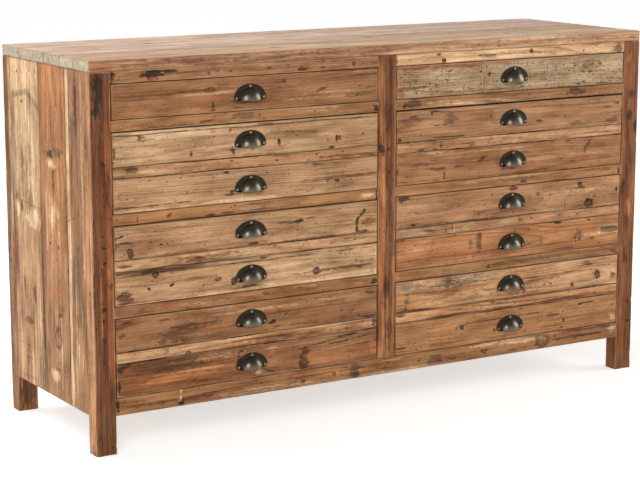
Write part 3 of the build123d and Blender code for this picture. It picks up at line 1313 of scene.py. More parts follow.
def template_of(name: str, made: bmesh.types.BMesh) -> bpy.types.Object:
    """Turns a finished shape into a template object.

    Args:
        name: the object's name.
        made: the shape, which is used up.

    Returns:
        The template, not part of the chest until it is set on points.
    """
    mesh = bpy.data.meshes.new(name)
    made.to_mesh(mesh)
    made.free()
    return new_object(name, mesh)


@dataclass
class CupPull:
    """The cast cup pull: a half dome on a rounded flange with a lug at each side. Sizes are millimetres."""

    width: float = 85.0
    rise: float = 32.5
    lug_radius: float = 6.2
    flange: float = 1.8
    dome_radius: float = 29.0
    dome_drop: float = 7.0
    mouth_drop: float = 5.5
    lip: float = 21.0
    fillet: float = 2.2
    wall: float = 1.7
    rim: float = 0.45
    rays: int = 84
    rings: int = 30

    @property
    def lug_x(self) -> float:
        """How far each lug's centre is from the middle."""
        return self.width / 2.0 - self.lug_radius

    @property
    def mouth_rise(self) -> float:
        """How far the open mouth is above the dome's centre."""
        return self.dome_drop - self.mouth_drop

    def profile(self) -> np.ndarray:
        """Draws the section from the dome's crown out over the flange.

        Returns:
            Radius and height, one point per row.
        """
        depth = self.lip / math.sqrt(1.0 - (self.mouth_rise / self.dome_radius) ** 2)
        foot = self.flange + self.fillet
        turns = np.linspace(0.0, math.acos(foot / depth), 60)
        dome = np.column_stack([self.dome_radius * np.sin(turns), depth * np.cos(turns)])
        bend = np.linspace(math.pi, 1.5 * math.pi, 14)[1:]
        centre = np.array([dome[-1, 0] + self.fillet, foot])
        sweep = centre + self.fillet * np.column_stack([np.cos(bend), np.sin(bend)])
        return np.vstack([dome, sweep, [[self.width, self.flange]]])

    def outer_reach(self, turn: float) -> float:
        """Gives how far the outline is from the dome's centre in one direction.

        Args:
            turn: the direction, as an angle from the right.

        Returns:
            The distance.
        """
        best, low, high = 0.0, self.lug_x, self.width
        for _ in range(40):
            middle = (low + high) / 2.0
            x, z = abs(middle * math.cos(turn)), middle * math.sin(turn) - self.dome_drop
            in_plate = z >= 0.0 and (2.0 * x / self.width) ** 2 + (z / self.rise) ** 2 <= 1.0
            in_lug = math.hypot(x - self.lug_x, z) <= self.lug_radius
            if in_plate or in_lug:
                best, low = middle, middle
            else:
                high = middle
        return best

    def inner_reach(self, turn: float) -> float:
        """Gives where the pull starts in one direction: at the mouth, or at a lug's near side.

        Args:
            turn: the direction, as an angle from the right.

        Returns:
            The distance from the dome's centre.
        """
        side = abs(math.cos(turn))
        if self.mouth_rise * side <= self.dome_radius * math.sin(turn):
            return self.mouth_rise / math.sin(turn)
        centre = (self.lug_x, self.dome_drop)
        middle = centre[0] * side + centre[1] * math.sin(turn)
        gap = centre[0] ** 2 + centre[1] ** 2 - self.lug_radius**2
        return middle - math.sqrt(max(middle**2 - gap, 0.0))

    def build(self) -> bpy.types.Object:
        """Makes the pull as a template object with its lug line at the origin.

        Returns:
            The template.
        """
        profile = self.profile()
        lengths = np.concatenate([[0.0], np.cumsum(np.hypot(*np.diff(profile, axis=0).T))])
        lug_middle = math.atan2(self.dome_drop, self.lug_x)
        first = lug_middle - math.asin(self.lug_radius / math.hypot(self.dome_drop, self.lug_x)) + 1e-3
        even = np.linspace(0.0, math.pi, self.rays)
        turns = first + (math.pi - 2.0 * first) * (1.0 - np.cos(even)) / 2.0
        made = bmesh.new()
        layer = made.verts.layers.float.new("polish")
        rows = []
        for turn in turns:
            start, stop = self.inner_reach(turn), max(self.outer_reach(turn), self.inner_reach(turn))
            ends = np.interp([start, stop], profile[:, 0], lengths)
            row = []
            for length in np.linspace(ends[0], ends[1], self.rings):
                radius = np.interp(length, lengths, profile[:, 0])
                height = np.interp(length, lengths, profile[:, 1])
                x, z = radius * math.cos(turn), radius * math.sin(turn) - self.dome_drop
                vertex = made.verts.new((x * MM, -height * MM, z * MM))
                vertex[layer] = float(ease(self.flange + 0.3, self.flange + 5.0, np.array(height)))
                row.append(vertex)
            rows.append(row)
        quilt(made, rows)
        bmesh.ops.remove_doubles(made, verts=made.verts, dist=0.02 * MM)
        made.normal_update()
        crown = max(made.faces, key=lambda face: -face.calc_center_median().y)
        if crown.normal.y > 0.0:
            bmesh.ops.reverse_faces(made, faces=made.faces)
        for face in made.faces:
            face.smooth = True
        template = template_of("cup_pull_shape", made)
        wall = template.modifiers.new("wall", "SOLIDIFY")
        wall.thickness = self.wall * MM
        wall.offset = -1.0
        wall.use_even_offset = True
        round_edge = template.modifiers.new("round_edge", "BEVEL")
        round_edge.width = self.rim * MM
        round_edge.segments = 2
        round_edge.limit_method = "ANGLE"
        round_edge.angle_limit = math.radians(50.0)
        template.data = plain_mesh(template)
        return template


# Puts the screw's faces in the same order in each run: by depth, then across, then up.
FACE_ORDER = Vector((1.0, 1000.0, 0.001))


@dataclass
class SlottedScrew:
    """A round-headed slotted screw. Sizes are millimetres."""

    head_radius: float = 3.4
    head_height: float = 1.8
    shank_radius: float = 1.5
    length: float = 14.0
    slot: float = 0.9
    slot_depth: float = 0.8
    steps: int = 12

    def build(self) -> bpy.types.Object:
        """Makes the screw as a template object with its head's seat at the origin, pointing inwards.

        Returns:
            The template.
        """
        made = bmesh.new()
        slot = self.slot / 2.0 / self.head_radius
        lines = np.linspace(-1.0, 1.0, self.steps + 1)
        sides = np.array([-1.1, -1.0, 1.0, 1.1]) * slot
        cuts = np.sort(np.concatenate([lines[np.abs(lines) > 1.6 * slot], sides]))
        slot_floor = max(self.head_height - self.slot_depth, 0.3)
        grid = []
        for x in lines:
            row = []
            for z in cuts:
                flat_x, flat_z = x * math.sqrt(1.0 - z * z / 2.0), z * math.sqrt(1.0 - x * x / 2.0)
                radius = min(1.0, math.hypot(flat_x, flat_z))
                height = self.head_height * (0.35 + 0.65 * math.sqrt(max(0.0, 1.0 - radius**2)))
                if abs(z) <= slot + 1e-6:
                    height = min(height, slot_floor)
                scale = self.head_radius * MM
                row.append(made.verts.new((flat_x * scale, -height * MM, flat_z * scale)))
            grid.append(row)
        quilt(made, grid)
        rim = [edge for edge in made.edges if edge.is_boundary]
        shank = self.shank_radius / self.head_radius
        for reach, depth in ((1.0, 0.0), (shank, 0.0), (shank, 0.8 * self.length), (0.05, self.length)):
            grown = bmesh.ops.extrude_edge_only(made, edges=rim)["geom"]
            rim = [item for item in grown if isinstance(item, bmesh.types.BMEdge)]
            for vertex in {vertex for edge in rim for vertex in edge.verts}:
                spoke = Vector((vertex.co.x, 0.0, vertex.co.z)).normalized() * self.head_radius * reach * MM
                vertex.co = (spoke.x, depth * MM, spoke.z)
        bmesh.ops.holes_fill(made, edges=rim)
        made.faces.sort(key=lambda face: face.calc_center_median().dot(FACE_ORDER))
        bmesh.ops.recalc_face_normals(made, faces=made.faces)
        layer = made.verts.layers.float.new("polish")
        for vertex in made.verts:
            vertex[layer] = 1.0 if vertex.co.y < -0.9 * MM else 0.3
        return template_of("screw_shape", made)


# One maker of smears for each colour.
ink, earth, smoke, plum, rust, amber, pale, bone = (
    partial(Smear, mark=mark) for mark in Mark if mark is not LIMED
)


def on_face(face: Face, *marks: Smear | Knot | Line | Band | Specks) -> tuple:
    """Puts marks on another face of a board than its main one."""
    return tuple(replace(mark, face=face) for mark in marks)


# The looks of the boards, piece by piece. Marks lie at percents of a board's length and width.
TOP_LEFT_RAIL = BoardLook(TAN, 0.94, (
    ink(14.5, 62, 62, 20, 0.8), ink(20, 80, 50, 10, 0.65), ink(0, 50, 30, 40), Knot(15.3, 20, 26, 9, RUST),
    ink(36, 95, 22, 6), earth(35, 30, 6, 5), Knot(43, 45, 7, 6), Knot(70, 26, 24, 8),
    plum(90, 45, 12, 22, 0.75), Line(58, 62, 93, 88, 2.4, 0.6), earth(57.5, 55, 14, 6),
    earth(64.5, 62, 12, 5), earth(78, 86, 16, 4), earth(78, 30, 18, 5),
))
TOP_RIGHT_RAIL = BoardLook(STRAW, 1.28, (
    earth(17.5, 80, 14, 9, 0.75), Knot(19.5, 22, 14, 10), earth(57.5, 68, 12, 14, 0.7), earth(68, 55, 8, 5),
    earth(81, 35, 7, 6, 0.8), earth(87, 72, 6, 5), plum(97, 45, 44, 34, 0.5), ink(0, 40, 10, 16),
    Specks(14, 5, 95),
))
DRAWER_LOOKS = {
    "left_drawer_1_front": (
        BoardLook(CHESTNUT, 1.0, (
            Knot(35.2, 66, 30, 14, SMOKE, 0.75, heart=SMOKE), earth(30, 67, 120, 9, 0.45),
            Band(50, 62, PALE, 0.35, 22, 45), ink(36.2, 20, 8, 24, 0.65), earth(36, 8, 20, 8),
            Saw(15, 33, 8, 26, 0.7), plum(63, 78, 12, 9, 0.75), plum(62, 78, 50, 12, 0.35),
            earth(78, 50, 36, 9, 0.75, 12), earth(76, 42, 14, 8, 0.5), Specks(46, 74, 100, 10, 60),
            earth(47, 24, 44, 5, 0.75), earth(46, 10, 50, 5), Band(50, 72, EARTH, 0.3, 0, 24),
            Band(2, 24, AMBER, 0.35, 2, 34), earth(90, 25, 60, 16, 0.35), Line(40, 52, 70, 60, 2, 0.35),
        )),
    ),
    "left_drawer_2_front": (
        BoardLook(HONEY, 0.96, (
            Line(-2, 14, 30, 17, 3, 0.8, INK, 0.8), Line(40, 25, 56, 24, 3, 0.8, EARTH, 0.5),
            Band(-5, 9, PALE, 0.5, 0, 60), Line(0, 98, 32, 98, 4), ink(41, 93, 18, 7),
            Knot(75, 92, 14, 12, SMOKE), earth(77, 90, 26, 6), Saw(26, 44, 38, 76, 0.5),
            earth(24, 87, 7, 4, 0.7), ink(83.8, 35, 18, 10, 0.75), earth(80, 37, 7, 10),
            earth(43, 30, 16, 14, 0.6, 40), Specks(24, 0, 100, 10, 95), Line(25, 42, 42, 36, 2, 0.4),
            plum(2, 50, 40, 30, 0.25),
        )),
        BoardLook(TAN, 1.16, (
            earth(6.5, 65, 34, 18), ink(22.3, 52, 6, 5), ink(60, 45, 7, 5), earth(75.5, 65, 8, 6, 0.7),
            earth(86, 70, 10, 4), earth(97, 18, 30, 8, 0.5), earth(43, 75, 14, 5), Specks(14),
        )),
        BoardLook(STRAW, 0.93, (
            Line(-2, 90, 50, 91, 3.5, 0.85, INK, 0.9), Line(45, 91, 102, 91, 3.2, 0.8, INK, 0.9),
            Band(93, 105, PALE, 0.45), ink(57, 97, 60, 6, 0.7), smoke(12, 76, 52, 14, 0.4),
            Knot(9.3, 80, 9, 14, SMOKE, 0.5), smoke(6, 72, 30, 8, 0.35), plum(36, 82, 18, 10, 0.3),
            ink(42.5, 84, 9, 7, 0.7), earth(28, 24, 8, 16), earth(43.5, 20, 10, 30, 0.6, 20),
            ink(60.9, 36, 10, 18, 0.75), ink(65, 29, 5, 4), ink(83.4, 35, 6, 24, 0.85),
            plum(84.5, 34, 12, 16, 0.5), ink(80, 28, 6, 8, 0.75), ink(81.5, 6, 20, 10, 0.7),
            ink(94, 42, 6, 6, 0.7), earth(0.5, 38, 8, 30), Saw(3, 14, 8, 35, 0.4), Specks(26, 0, 100, 5, 85),
            Line(10, 56, 30, 60, 2, 0.4),
        ), HONEY),
    ),
    "left_drawer_3_front": (
        BoardLook(HONEY, 0.97, (
            Band(86, 106, EARTH, 0.55, -5, 30), Band(90, 106, EARTH, 0.3, 30, 105),
            Line(-2, 84.5, 50, 86, 3, 0.5, INK, 1.0), Line(45, 86, 102, 88.5, 2.6, 0.6, EARTH, 0.9),
            # Pale lines on the right end and along the bottom edge: painted highlight on the lit arris.
            Line(99.6, -5, 99.6, 85, 5, 0.7, BONE, 0.0), Line(2, 2, 100, 2, 4, 0.6, BONE, 0.0),
            ink(11.5, 93, 36, 9, 0.5), Knot(14.5, 79, 16, 14, INK, 0.8), earth(55, 95, 20, 8, 0.7),
            ink(20.5, 45, 20, 8, 0.85, 35), ink(12, 42, 8, 10, 0.7, 30), earth(32, 31, 6, 5, 0.7),
            Knot(37.5, 46, 18, 9, SMOKE, 0.5), earth(43.5, 34, 20, 20, 0.7), earth(50, 12, 80, 12, 0.5),
            Knot(75.5, 36, 18, 17, PLUM, 0.95, heart=PLUM), Line(72, 37, 99, 35, 3, 0.5),
            earth(75, 12, 9, 5, 0.7), earth(78.5, 10, 8, 6, 0.7), earth(3, 20, 60, 40, 0.5),
            Line(0, 20, 7, 60, 4, 0.5), Line(0, 45, 6, 30, 3, 0.5), Line(10, 0, 10, 30, 3, 0.5),
            Band(-5, 10, PALE, 0.45, 30), earth(85, 78, 16, 8, 0.35), earth(93, 50, 80, 34, 0.2),
            Specks(30, 0, 100, 10, 80),
        ), STRAW),
        BoardLook(HONEY, 1.15, (
            Line(20, 25, 56, 30, 2.4, 0.5), pale(25, 35, 22, 8, 0.5, 30), earth(30, 50, 30, 8, 0.4),
            earth(4, 40, 40, 8, 0.5), earth(59, 78, 16, 6, 0.5), ink(68, 75, 6, 5),
            Band(-10, 10, EARTH, 0.25), Specks(14),
        )),
        BoardLook(HONEY, 0.94, (
            Knot(5.5, 20, 14, 24, SMOKE, 0.9, 20, heart=INK), ink(2, 70, 26, 6, 0.6, 20),
            plum(3, 50, 46, 9, 0.5), earth(0, 55, 14, 40, 0.5), ink(68.5, 62, 30, 9, 0.7, 6),
            smoke(64, 62, 70, 8, 0.5), earth(74, 70, 60, 6, 0.4, 8), Saw(62, 74, 14, 42, 0.75),
            rust(96.5, 40, 40, 34, 0.5), Line(95.2, 76, 91.8, 46, 9, 0.8, INK),
            Line(91.8, 50, 91.6, 6, 8, 0.8, INK), Line(91.2, 10, 96, 8, 7, 0.65, INK),
            Line(93.5, 28, 97, 45, 4, 0.6), ink(16.5, 36, 9, 5), ink(19, 36, 6, 5),
            Line(32, 15, 34, 36, 3, 0.5), earth(51, 8, 30, 8), plum(53, 95, 90, 6, 0.4),
            Line(8, 65, 30, 70, 2, 0.4), Specks(26, 0, 90, 10, 95), Band(-5, 7, EARTH),
        )),
    ),
    "left_drawer_4_front": (
        BoardLook(UMBER, 0.98, (
            ink(2, 86, 44, 18, 0.75, 20), ink(0.5, 30, 12, 30, 0.8), earth(18, 78, 240, 40, 0.45),
            Line(5, 20, 42, 62, 16, 0.34, AMBER, 0.0), Band(28, 50, AMBER, 0.35, 10, 62),
            ink(46, 87, 14, 10, 0.8), earth(45, 72, 14, 30), Knot(70.3, 24, 26, 34, INK, 1.0, heart=INK),
            ink(70.3, 24, 15, 20, 1.0), earth(71, 55, 26, 30, 0.7), pale(53, 17, 26, 12, 0.6, 25),
            Line(50.5, 6, 55, 24, 3, 0.7, INK), smoke(57, 12, 30, 9, 0.7, -25),
            Line(54, 22, 59, 8, 3, 0.75, INK), Line(67, 64, 93, 95, 3, 0.7, INK),
            Line(78, 66, 99, 83, 3, 0.75, INK), Line(83, 90, 98, 98, 3, 0.6, INK),
            Line(87, 54, 101, 62, 3, 0.7, INK), Line(72, 50, 96, 62, 3, 0.7, AMBER, 0.0),
            Band(10, 50, AMBER, 0.35, 70), ink(28, 80, 22, 8, 0.45, 30), earth(30, 12, 90, 14, 0.5),
            amber(58, 80, 26, 26, 0.35), Specks(26), amber(98.5, 40, 20, 40, 0.4),
        ), CHESTNUT),
        BoardLook(HONEY, 1.22, (
            Band(15, 85, AMBER, 0.15, 10), Knot(26, 14, 14, 10, INK, 0.8), Line(22, 72, 42, 90, 2, 0.45),
            plum(18, 50, 12, 16, 0.3), Line(50, 60, 98, 70, 2, 0.25), ink(99, 50, 14, 40, 0.4),
            Saw(8, 28, 40, 90, 0.3), Specks(10),
        )),
        BoardLook(CHESTNUT, 1.0, (
            ink(3.5, 87, 30, 7, 0.7), Line(14, 82, 28, 79, 3, 0.65, INK), ink(22.5, 54, 34, 6, 0.7),
            Line(68, 90, 86, 82, 3, 0.6), ink(97, 82, 50, 8, 0.65, -8), earth(22, 30, 130, 50, 0.45),
            ink(57.8, 29, 22, 9, 0.9, 15), ink(58.5, 34, 8, 12, 0.8), Saw(30, 46, 5, 50, 0.45),
            Line(58, 16, 76, 10, 3, 0.65), Line(70, 10, 90, 5, 2, 0.5), ink(97, 8, 50, 14, 0.5),
            ink(90, 34, 6, 6, 0.7), earth(2, 50, 22, 14, 0.5), Band(36, 50, AMBER, 0.3, 25, 46),
            earth(46, 90, 40, 10, 0.4), Specks(26, 0, 100, 10, 95), amber(60, 70, 200, 12, 0.3),
        )),
    ),
    "right_drawer_1_front": (
        BoardLook(SAWN, 1.1, (
            Saw(-10, 110, -20, 120, 0.7), Line(-2, 93, 35, 90, 5, 0.7, RUST, 0.4),
            Line(10, 97, 34, 92, 2.4, 0.6, INK), Band(86, 105, RUST, 0.35, 0, 50), Band(-5, 6, RUST, 0.4),
            earth(39, 62, 8, 8, 0.7), Specks(330, 1, 99, 6, 88, EARTH, 0.75),
            Line(87, 6, 95, 5, 3, 0.8, INK, 0.6), rust(6, 72, 70, 26, 0.25), smoke(57, 50, 60, 40, 0.25),
            smoke(50, 22, 80, 16, 0.4), smoke(85, 60, 120, 40, 0.22), rust(2, 15, 30, 30, 0.35),
        )),
    ),
    "right_drawer_2_front": (
        BoardLook(CHESTNUT, 1.2, (
            plum(17, 42, 60, 10, 0.55), earth(20, 20, 9, 30), earth(36, 60, 34, 12, 0.55, 20),
            earth(27, 44, 40, 7, 0.5), ink(0, 45, 12, 20), smoke(56, 68, 40, 12, 0.5),
            plum(49, 22, 60, 12, 0.5), smoke(84.5, 78, 10, 30, 0.8, -30), smoke(83, 60, 12, 22, 0.7, -20),
            earth(75, 92, 26, 8), ink(68, 97, 18, 6), plum(59, 36, 16, 12, 0.35), earth(77, 28, 18, 5),
            plum(10, 60, 70, 14, 0.35), Line(0, 10, 20, 6, 3, 0.55), earth(43, 50, 20, 26, 0.35),
            Specks(40, 0, 100, 5, 95), Band(30, 45, AMBER, 0.3, 55), Line(40, 50, 24, 40, 2, 0.4),
        )),
        BoardLook(TAN, 1.26, (
            Line(18.5, 20, 18.7, 90, 4, 0.8), Line(39, 20, 40.5, 95, 7, 0.75, RUST),
            earth(53, 55, 7, 9, 0.7), Line(69.2, 0, 69.4, 110, 5, 0.9, RUST), earth(10, 16, 24, 7, 0.7),
            earth(16, 16, 20, 7, 0.7), rust(32, 18, 22, 8, 0.7), Band(20, 80, PALE, 0.3, 42, 70),
            earth(30, 45, 40, 8, 0.35),
        )),
        BoardLook(TAN, 1.02, (
            smoke(6.5, 75, 60, 22, 0.5), ink(15.5, 93, 34, 6, 0.8), ink(14.5, 88, 8, 10, 0.7),
            smoke(22.5, 65, 44, 34, 0.45), Line(15, 47, 21, 48, 4, 0.7, INK), ink(10, 18, 10, 5),
            earth(1.2, 8, 14, 14, 0.75), plum(61.5, 33, 22, 10, 0.65), smoke(93.5, 62, 34, 6, 0.7),
            earth(97.5, 75, 24, 5), smoke(78, 16, 60, 16, 0.5), smoke(95, 17, 60, 20, 0.55),
            ink(73.5, 42, 5, 12), Line(15, 9, 30, 6, 3), earth(40, 70, 8, 30, 0.35),
            rust(3, 50, 50, 10, 0.3), Specks(30, 0, 100, 5, 95), earth(42, 40, 40, 12, 0.35),
        )),
    ),
    "right_drawer_3_front": (
        BoardLook(RUSSET, 1.01, (
            Line(33.7, 15, 33.7, 75, 4, 0.8, AMBER), smoke(35.5, 60, 24, 52), ink(36, 80, 10, 16),
            earth(31.8, 60, 20, 30, 0.4), rust(33, 16, 14, 9, 0.7), Line(79.7, 20, 80, 72, 4, 0.8),
            smoke(81.5, 45, 20, 34), earth(79, 40, 16, 20, 0.4), Line(90.5, 25, 90.6, 70, 3, 0.7, PALE),
            smoke(95.5, 52, 66, 20), Line(91, 62, 100, 60, 3, 0.6, INK), Line(91, 48, 100, 46, 3, 0.55, INK),
            Line(91, 36, 100, 35, 2, 0.5), earth(57.5, 83, 8, 8, 0.85), earth(25, 97, 16, 6),
            ink(71, 95, 40, 8), ink(85.5, 93, 20, 10), earth(87, 30, 34, 12, 0.4), rust(10, 52, 180, 8, 0.4),
            rust(35, 25, 160, 10, 0.35), earth(63.5, 40, 20, 40, 0.3), Band(30, 50, AMBER, 0.3, 2, 30),
            Specks(30, 5, 95, 10, 95), earth(2, 95, 30, 8),
        )),
        BoardLook(TAN, 1.2, (
            Band(10, 95, PALE, 0.4, 0, 20), Saw(0, 22, 10, 90, 0.5), Line(23.7, 0, 23.7, 100, 3, 0.85),
            Line(24.6, 0, 24.6, 100, 2.4, 0.7, PALE), Line(43.7, 10, 44, 95, 4, 0.75),
            Knot(54, 58, 15, 8, INK), Band(30, 90, PALE, 0.5, 45, 54), earth(21, 30, 8, 18),
            pale(30, 40, 30, 10, 0.3), earth(59, 60, 16, 10, 0.45), earth(72, 60, 10, 5),
            earth(80, 50, 14, 5, 0.5), earth(13, 50, 40, 6, 0.5), Band(-10, 14, EARTH, 0.4),
        )),
        BoardLook(TAN, 1.09, (
            ink(3, 95, 52, 14, 0.75), earth(2, 85, 18, 10), plum(50.5, 94, 26, 16, 0.85),
            earth(41, 80, 6, 14, 0.5, 20), earth(61.5, 65, 16, 10, 0.65), Knot(81, 80, 16, 16, INK, 0.8),
            ink(79, 71, 60, 5, 0.65), earth(82, 72, 22, 8), Knot(85.5, 16, 30, 26, INK, 0.75),
            Specks(22, 81, 89, 2, 45, INK, 0.7), Line(74.2, 5, 74.2, 50, 2.6), ink(98.5, 53, 8, 16, 0.7),
            ink(7, 9, 16, 7, 0.65), Band(40, 80, PALE, 0.3, 60, 78), earth(10, 40, 160, 16, 0.25),
            earth(36, 25, 50, 10, 0.35, 10), Line(32, 75, 32, 95, 2, 0.4), Specks(24, 0, 100, 10, 95),
            Band(-5, 7, EARTH, 0.45, 0, 40),
        )),
    ),
    "right_drawer_4_front": (
        BoardLook(GINGER, 1.11, (
            Knot(28.5, 60, 14, 17, SMOKE, 0.9, heart=INK), earth(26, 56, 10, 14, 0.4),
            ink(85, 82, 58, 5, 0.85), ink(82.5, 80, 20, 6, 0.7), Line(28, 68, 50, 72, 3, 0.6),
            ink(43, 34, 6, 12, 0.7), earth(60, 72, 60, 5), earth(74.8, 33, 9, 14), earth(74, 10, 8, 8),
            earth(55, 94, 26, 8), earth(40, 95, 20, 5, 0.5), ink(2, 20, 40, 6, 0.55),
            rust(15, 70, 40, 6, 0.5), Line(40, 8, 55, 8, 3, 0.5), earth(98, 62, 20, 8, 0.55),
            pale(98, 20, 24, 22, 0.5), earth(70, 55, 60, 10, 0.35), Specks(46, 0, 100, 5, 95),
        )),
        BoardLook(TAN, 1.56, (
            smoke(2, 75, 30, 10), Band(-10, 20, EARTH), ink(37, 50, 5, 5), Line(50, 50, 75, 45, 3, 0.4),
            earth(42, 85, 14, 6, 0.5), Specks(12),
        )),
        BoardLook(GINGER, 1.22, (
            Band(62, 105, LIMED, 0.22, -5, 42), Band(62, 105, PALE, 0.2, -5, 50),
            Specks(44, 0, 45, 62, 98, INK), smoke(5, 84, 76, 26, 0.4), Saw(0, 11, 60, 100, 0.8),
            Line(2, 57, 24, 58, 2, 0.5), smoke(22.2, 80, 28, 34), Saw(20, 34, 60, 100, 0.7),
            Specks(24, 24, 36, 60, 95, INK), smoke(4.8, 42, 20, 30), earth(4, 15, 12, 14, 0.5),
            Line(48, 60, 86, 62, 4, 0.8, RUST, 0.6), Line(58, 59, 80, 60, 2.6), smoke(86, 82, 50, 16, 0.5),
            Knot(90.5, 40, 16, 26, SMOKE, 0.9, 12, heart=SMOKE), earth(90.5, 30, 10, 20, 0.55),
            earth(61.5, 31, 6, 6, 0.8), earth(65.5, 30, 7, 6, 0.85), earth(68.5, 31, 8, 6, 0.8),
            ink(78.5, 16, 12, 12, 0.75, 30), earth(98, 32, 26, 18, 0.5), rust(52, 20, 60, 20, 0.5),
            earth(56, 20, 14, 20, 0.5), earth(33, 20, 40, 18, 0.45), Band(10, 50, PALE, 0.3, 8, 50),
            Specks(24, 30, 50, 10, 50), Band(-5, 7, EARTH, 0.45), Specks(26, 30, 100, 60, 95),
            amber(40, 60, 160, 6, 0.5),
        ), HONEY),
    ),
}
RAIL_LOOKS = {
    "left_drawer_rails": (
        BoardLook(GINGER, 0.89, (
            smoke(47.5, 66, 62, 18, 0.75), Saw(43, 52, 30, 100, 0.5), earth(34, 36, 44, 6, 0.75, 6),
            ink(18.3, 66, 6, 5, 0.7), earth(53.5, 62, 6, 6, 0.7), ink(99, 40, 22, 20), earth(41, 90, 10, 5),
            Band(50, 80, AMBER, 0.3, 12, 40), Specks(10),
        )),
        BoardLook(GINGER, 1.0, (
            earth(8.7, 40, 5, 18, 0.8), earth(20, 50, 20, 8, 0.6, 30), ink(35, 12, 30, 6, 0.7),
            earth(42, 16, 40, 7), Line(40, 20, 66, 25, 3, 0.5), rust(55, 30, 20, 8, 0.5),
            pale(95, 50, 50, 18, 0.45), ink(99.5, 50, 10, 30), Specks(12),
        )),
        BoardLook(GINGER, 0.8, (
            rust(20, 55, 90, 16, 0.55), earth(10, 50, 30, 14, 0.4), ink(56, 55, 30, 9, 0.5),
            amber(92, 40, 40, 12), ink(98.5, 40, 22, 18, 0.7), smoke(2, 50, 40, 14, 0.3),
            Line(30, 30, 50, 30, 2, 0.4, INK),
        )),
    ),
    "right_drawer_rails": (
        BoardLook(GINGER, 0.85, (
            Band(-10, 60, PALE, 0.4, 10, 55), plum(6.8, 50, 50, 26, 0.95), earth(4, 45, 20, 22, 0.7),
            earth(78, 55, 62, 22, 0.85), Line(78.5, 0, 78.5, 100, 4, 0.6, INK),
            Line(80, 20, 80, 100, 3, 0.5, INK), ink(74, 30, 14, 8), rust(47, 70, 24, 9),
            earth(57, 50, 12, 7), rust(92, 55, 14, 10, 0.45), Specks(10),
        )),
        BoardLook(GINGER, 0.96, (
            earth(55, 25, 26, 8, 0.7), smoke(50, 50, 200, 16, 0.3), rust(88, 50, 90, 14, 0.35),
            ink(99, 45, 10, 20), Line(20, 30, 45, 30, 2, 0.4), Specks(10),
        )),
        BoardLook(GINGER, 0.96, (
            smoke(55, 50, 240, 20, 0.4), ink(40, 35, 10, 8, 0.7), rust(4, 40, 50, 14, 0.5),
            pale(17, 60, 80, 10, 0.3), earth(98, 30, 40, 14, 0.5), Line(10, 30, 35, 35, 2, 0.4),
        )),
    ),
}
BOTTOM_RAIL = BoardLook(GINGER, 0.86, (
    ink(0.2, 60, 14, 40, 0.75), Line(11.2, 30, 11.3, 110, 6, 0.8, PALE), ink(11.4, 20, 16, 22, 0.85),
    Line(11.6, 50, 29, 68, 4, 0.75), Line(12, 42, 24, 45, 3, 0.5), Knot(33.8, 34, 12, 10),
    Knot(39.8, 46, 10, 9, INK), smoke(43.7, 50, 34, 44, 0.75), ink(43.7, 60, 80, 6, 0.7),
    ink(44, 20, 26, 18, 0.55), earth(56.8, 50, 24, 7, 0.6, 40), smoke(59.9, 40, 54, 30, 0.65),
    Knot(70.56, 45, 15, 13, SMOKE), Knot(83.1, 52, 46, 38, SMOKE, 0.6, heart=SMOKE),
    Line(85, 50, 97, 48, 5, 0.75), Line(87, 85, 95, 88, 3, 0.5), bone(99, 60, 34, 26, 0.4),
    smoke(76.5, 25, 40, 12, 0.5), earth(64, 30, 30, 12, 0.4), Specks(40), Band(55, 85, AMBER, 0.25, 20, 42),
))
STILE = BoardLook(CHESTNUT, 0.97, (
    Band(4, 36, AMBER, 0.6), Band(60, 80, EARTH), Band(84, 100, AMBER, 0.35, 30),
    Line(2, 45, 98, 52, 3, 0.6, INK, 0.6), Line(20, 85, 98, 86, 3, 0.55, INK, 0.5),
    Line(70, 30, 99, 28, 3, 0.7, INK), Knot(70, 17, 20, 14, INK), earth(69, 30, 26, 10, 0.7),
    earth(76, 45, 16, 12), ink(69.5, 62, 10, 12, 0.6, 30), ink(62, 62, 8, 9, 0.5), ink(24, 50, 60, 18, 0.45),
    earth(10, 70, 60, 24, 0.5), ink(83, 70, 20, 16, 0.3), rust(50, 20, 50, 10, 0.4),
), UMBER)
